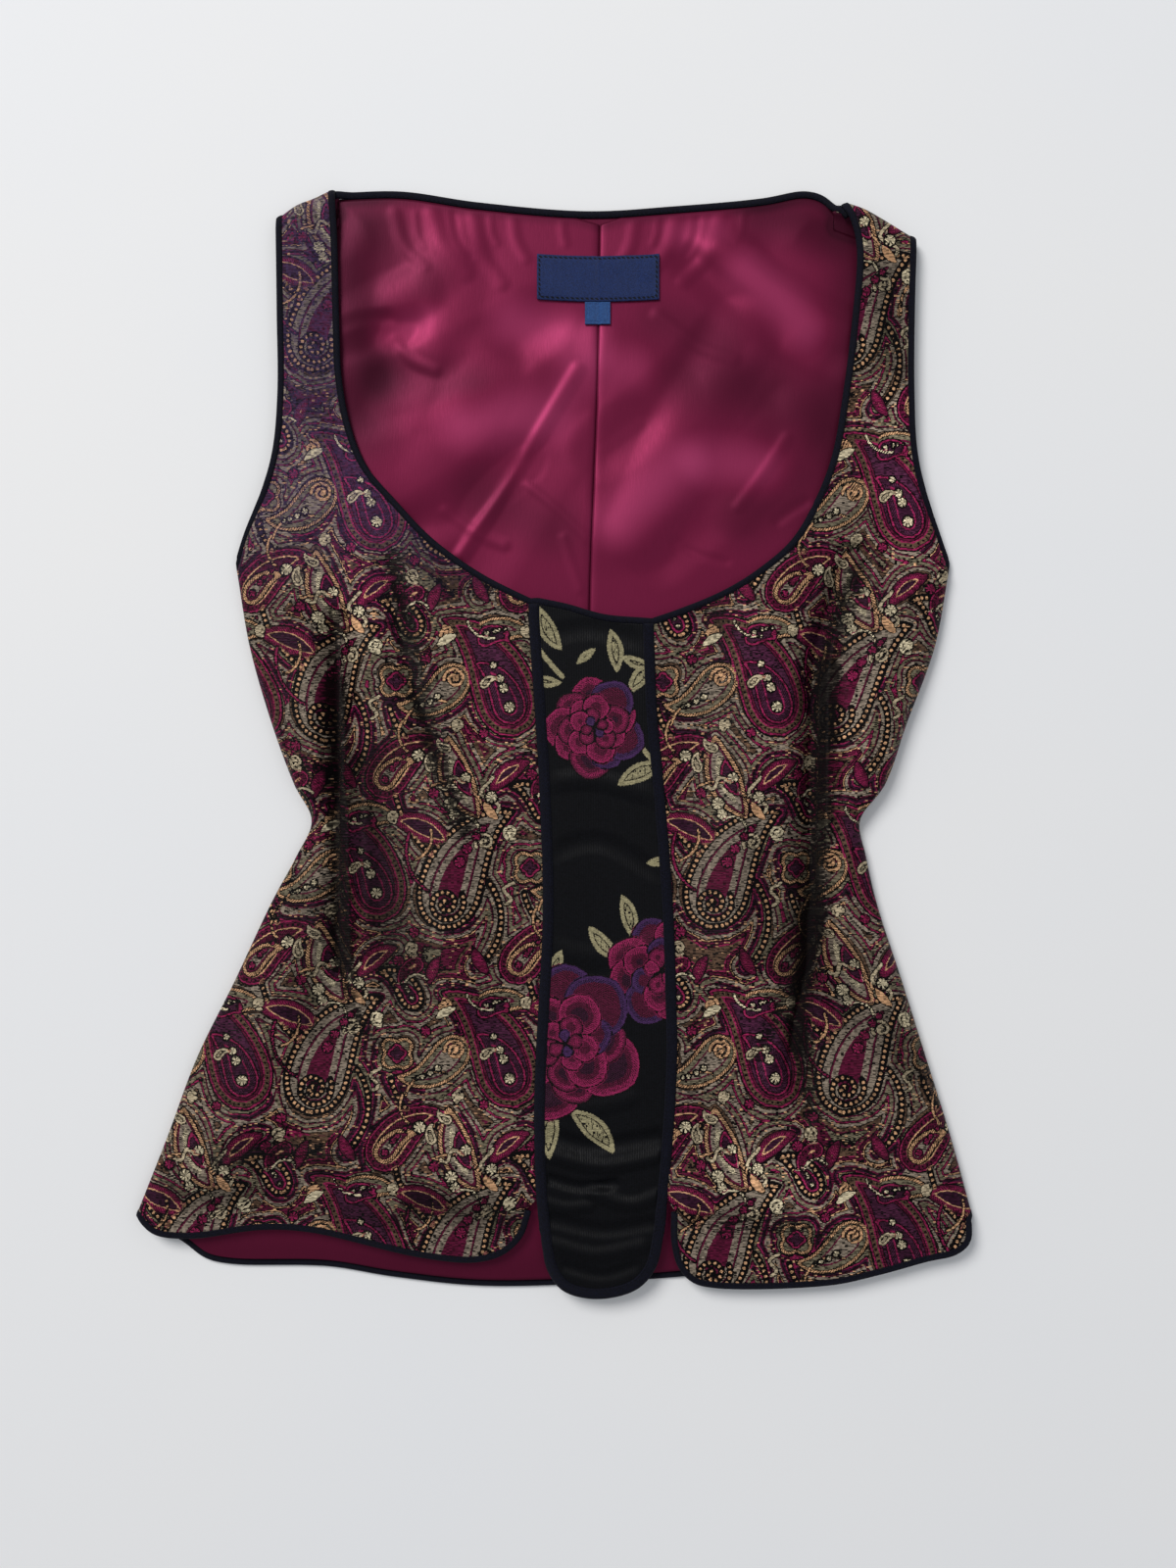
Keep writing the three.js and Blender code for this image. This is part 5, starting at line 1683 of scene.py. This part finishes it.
def make_lining(side, satin):
    """Half of the lining, with painted light and shade, and painted shade beside the bindings."""
    plan = lining_grid(side, LINING_CELL)
    reach = np.minimum(distance_to(plan[-1, ::2], plan), reach_in(plan, plan[:, :1]))
    upper = raised(plan, lining_heights(plan, reach, reach_in(plan, plan[:, -1:])))
    made = shell(f"lining_{side}_satin", upper, LINING, [satin], flip=side == "right")
    # Painted light and shade of the satin, and painted shade beside the bindings
    tones = with_under(fold_height(LINING_TONES, plan) + EDGE_SHADE * (1 - smooth(reach / 7)))
    set_vectors(made, "light", np.column_stack([0 * tones, 0 * tones, tones]))
    return placed(made, f"lining_{side}")


def make_panel(roses):
    """The centre panel, whose puckers are shallower at its edges, and its upper grid."""
    plan = panel_grid(PANEL_CELL)
    edge = np.minimum(reach_in(plan, plan[:, :1]), reach_in(plan, plan[:, -1:]))
    edge = np.minimum(edge, reach_in(plan, plan[:1]))
    puckers = fold_height(PANEL_CREASES, plan) * (0.35 + 0.65 * smooth(edge / 9))
    upper = raised(plan, PANEL_LIFT + puckers)
    made = shell("centre_panel_cloth", upper, CLOTH, [roses])
    points = with_under(plan)
    set_vectors(made, "bodies", painted(points, FLOWERS))
    set_vectors(made, "cloth", points)
    return placed(made, "centre_panel"), upper


def middle_of(grid, thickness, flip, cells):
    """The middle of the cloth's thickness and its upward direction at some cells of a grid."""
    ups = normals(grid, flip)
    r, c = np.array(cells).T
    return grid[r, c] - ups[r, c] * thickness / 2, ups[r, c]


def counted(first, last):
    """Whole numbers from the first to the last, upwards or downwards."""
    step = 1 if last >= first else -1
    return range(first, last + step, step)


def column_cells(column_number, first, last):
    return [(r, column_number) for r in counted(first, last)]


def row_cells(row_number, first, last):
    return [(row_number, c) for c in counted(first, last)]


def trim(name, node, run, cloth_on, finish, **shape):
    """A binding along a run of points and upward directions, which stands for a node."""
    return placed(binding(name, *run, cloth_on, finish, **shape), node)


def front_trims(side, upper, rows, finish):
    """The hem and armhole bindings of a front, and the run of its neck edge."""
    is_left = side == "left"
    last_row, last = len(rows) - 1, upper.shape[1] - 1
    armpit = int(np.searchsorted(rows, ARMPIT))
    turn = int(np.searchsorted(rows, len(TURN_STEPS) - 1))

    def run(cells):
        return middle_of(upper, CLOTH, not is_left, cells)

    hem = trim(f"hem_trim_front_{side}", f"hem_binding_front_{side}",
               run(row_cells(0, 0, last) + column_cells(last, 1, turn)), side, finish,
               corners=(LEFT_HEM[0] if is_left else RIGHT_HEM[-1], None))
    hole = trim(f"armhole_trim_front_{side}", f"armhole_binding_front_{side}",
                run(column_cells(0, armpit, last_row)), "right" if is_left else "left", finish,
                corners=(column(ARMHOLES, side)[0], None))
    return [hem, hole], run(column_cells(last, armpit, last_row))


def middle_trims(panel_upper, left_neck, right_neck, finish):
    """The neck binding, which runs from front to front over the panel, and the panel's own."""
    last_row, last = panel_upper.shape[0] - 1, panel_upper.shape[1] - 1
    over_panel = middle_of(panel_upper, CLOTH, False, row_cells(last_row, 0, last))
    parts = zip(left_neck, over_panel, right_neck)
    run = [np.vstack([left[::-1], middle, right]) for left, middle, right in parts]
    neck = trim("neck_trim_front", "neck_binding_front", run, "right", finish,
                corners=(LEFT_NECK[-1], RIGHT_NECK[-1]))
    cells = column_cells(0, last_row, 1) + row_cells(0, 0, last) + column_cells(last, 1, last_row)
    run = middle_of(panel_upper, CLOTH, False, cells)
    return neck, trim("panel_trim", "panel_binding", run, "left", finish, width=PANEL_TRIM)


def back_neck_run():
    """The back's neck edge, drawn out past its ends, where it climbs to the straps."""
    path = back_neckline()
    path = np.vstack([path[0] + NECK_BEFORE, path, path[-1] + NECK_AFTER])
    sums = running(path)
    climb = 1 - smooth(np.minimum(sums, sums[-1] - sums) / STRAP_CLIMB)
    points = np.column_stack([path - ORIGIN_SHIFT, CLOTH / 2 + NECK_CLIMB * climb])
    return points, np.tile([0.0, 0.0, 1.0], (len(points), 1))


def back_trims(lower, rows, finish):
    """The bindings of the back's armholes, hem and neck."""
    last_row, last = len(rows) - 1, lower.shape[1] - 1
    lift = (BINDING_THICK - CLOTH) / 2 + 0.02
    start = int(np.searchsorted(rows, ARMPIT + 1))
    made = []
    for side, edge, cloth_on in (("left", 0, "right"), ("right", last, "left")):
        run = middle_of(lower, -CLOTH, False, column_cells(edge, start, last_row))
        made.append(trim(f"armhole_trim_back_{side}", f"armhole_binding_back_{side}", run, cloth_on,
                         finish, lift=lift))
    run = middle_of(lower, -CLOTH, False, row_cells(0, 0, last))
    made.append(trim("hem_trim_back", "hem_binding_back", run, "left", finish,
                     corners=(BACK_HEM[0], BACK_HEM[-1]), lift=lift))
    made.append(trim("neck_trim_back", "neck_binding_back", back_neck_run(), "right", finish,
                     width=NECK_TRIM, lift=lift))
    return made


def make_trims(fronts, back, panel, finish):
    """All bindings, as lists for the fronts, the back and the panel."""
    left, left_neck = front_trims("left", *fronts["left"][1:], finish)
    right, right_neck = front_trims("right", *fronts["right"][1:], finish)
    neck, rim = middle_trims(panel[1], left_neck, right_neck, finish)
    rear = back_trims(*back[1:], finish)
    return {"left": [*left, neck], "right": right, "back": rear, "panel": [rim]}


def make_label(name, node, spec, finish):
    """A bare woven label whose long edges sag and whose corners lie flat."""
    columns, rows = LABEL_POINTS
    u, v = np.linspace(0, 1, columns), np.linspace(0, 1, rows)[:, None]
    x = np.tile(spec["x"] + u * spec["width"], (rows, 1))
    y = spec["y"] + v * spec["height"] - spec["sag"] * 4 * u * (1 - u)
    border = np.minimum(np.minimum(u, 1 - u) * spec["width"], np.minimum(v, 1 - v) * spec["height"])
    puff = LABEL_RELIEF * smooth(border / 3) * (0.6 + 0.4 * np.sin(9 * u) * np.cos(5 * v))
    stitched = -LABEL_RELIEF * np.exp(-(((border - 1.4) / 0.5) ** 2))
    plan = np.dstack([x, y])
    neckline = distance_to(rounded(BACK_NECK), plan) - BINDING_INSET - LINING_EDGE
    under = lining_heights(plan, neckline, distance_to(rounded(BACK_SEAM), plan))
    upper = raised(plan, under + 2 * SEAM_GAP + LABEL_THICK + puff + stitched)
    made = shell(name, upper, LABEL_THICK, [finish])
    set_vectors(made, "cloth", with_under(np.dstack([x, y, border])))
    return placed(made, node)


# ---------------------------------------------------------------- camera, light and floor

VIEW_CENTRE = (19.2, -23.6)
VIEW_HEIGHT = 912.0  # of the frame, at the cloth
LENS = 31.6
SENSOR = 36.0
CLOTH_LEVEL = 7.0
FLOOR_SIZE = 6000.0
FLOOR_LEVEL = -0.05


def make_camera():
    """Straight above, so far that VIEW_HEIGHT fills the frame."""
    data = bpy.data.cameras.new("camera")
    data.lens, data.sensor_width = LENS, SENSOR
    camera = bpy.data.objects.new("camera", data)
    distance = VIEW_HEIGHT * LENS / SENSOR
    camera.location = np.array([*VIEW_CENTRE, distance + CLOTH_LEVEL]) * MM
    bpy.context.scene.collection.objects.link(camera)
    bpy.context.scene.camera = camera


def make_light(name, location, size, power, tint):
    """A round soft light that is turned to the origin, in metres and watts."""
    data = bpy.data.lights.new(name, "AREA")
    data.shape = "DISK"
    data.size, data.energy, data.color = size, power, tint
    light = bpy.data.objects.new(name, data)
    light.location = location
    x, y, z = location
    light.rotation_euler = (math.atan2(math.hypot(x, y), z), 0, math.atan2(-x, y) + math.pi)
    bpy.context.scene.collection.objects.link(light)


def make_stage():
    """The pale floor, a soft sky, a large window on the upper left and a weak fill light."""
    bpy.context.scene.view_settings.view_transform = "Standard"
    corners = np.array([(-1, -1, 0), (1, -1, 0), (1, 1, 0), (-1, 1, 0)]) * FLOOR_SIZE / 2
    corners[:, 2] = FLOOR_LEVEL
    floor = new_object("floor", corners, [(0, 1, 2, 3)], [floor_material()])
    world = bpy.data.worlds.new("soft_sky")
    world.use_nodes = True
    background = world.node_tree.nodes["Background"]
    background.inputs["Color"].default_value = (0.93, 0.96, 1.0, 1)
    background.inputs["Strength"].default_value = 0.4
    bpy.context.scene.world = world
    make_light("window", (-2.2, 2.8, 3.5), size=2.4, power=192, tint=(1.0, 0.985, 0.96))
    make_light("fill", (1.6, -0.4, 2.4), size=1.8, power=5, tint=(0.9, 0.95, 1.0))


# ---------------------------------------------------------------- the whole


def main():
    make_camera()
    make_stage()
    jacquard, satin, finish = jacquard_material(), satin_material(), binding_material()
    fronts = {side: make_front(side, jacquard, satin) for side in ("left", "right")}
    back = make_back(jacquard, satin)
    linings = {side: make_lining(side, satin) for side in ("left", "right")}
    panel = make_panel(rose_material())
    trims = make_trims(fronts, back, panel, finish)
    labels = [
        make_label("woven_label", "label_main", LABEL,
                   label_material("woven_label", "#152247", "#213364", 1.0)),
        make_label("size_tab", "label_size", SIZE_TAB,
                   label_material("woven_tab", "#223f70", "#31568c", 0.0)),
    ]


main()
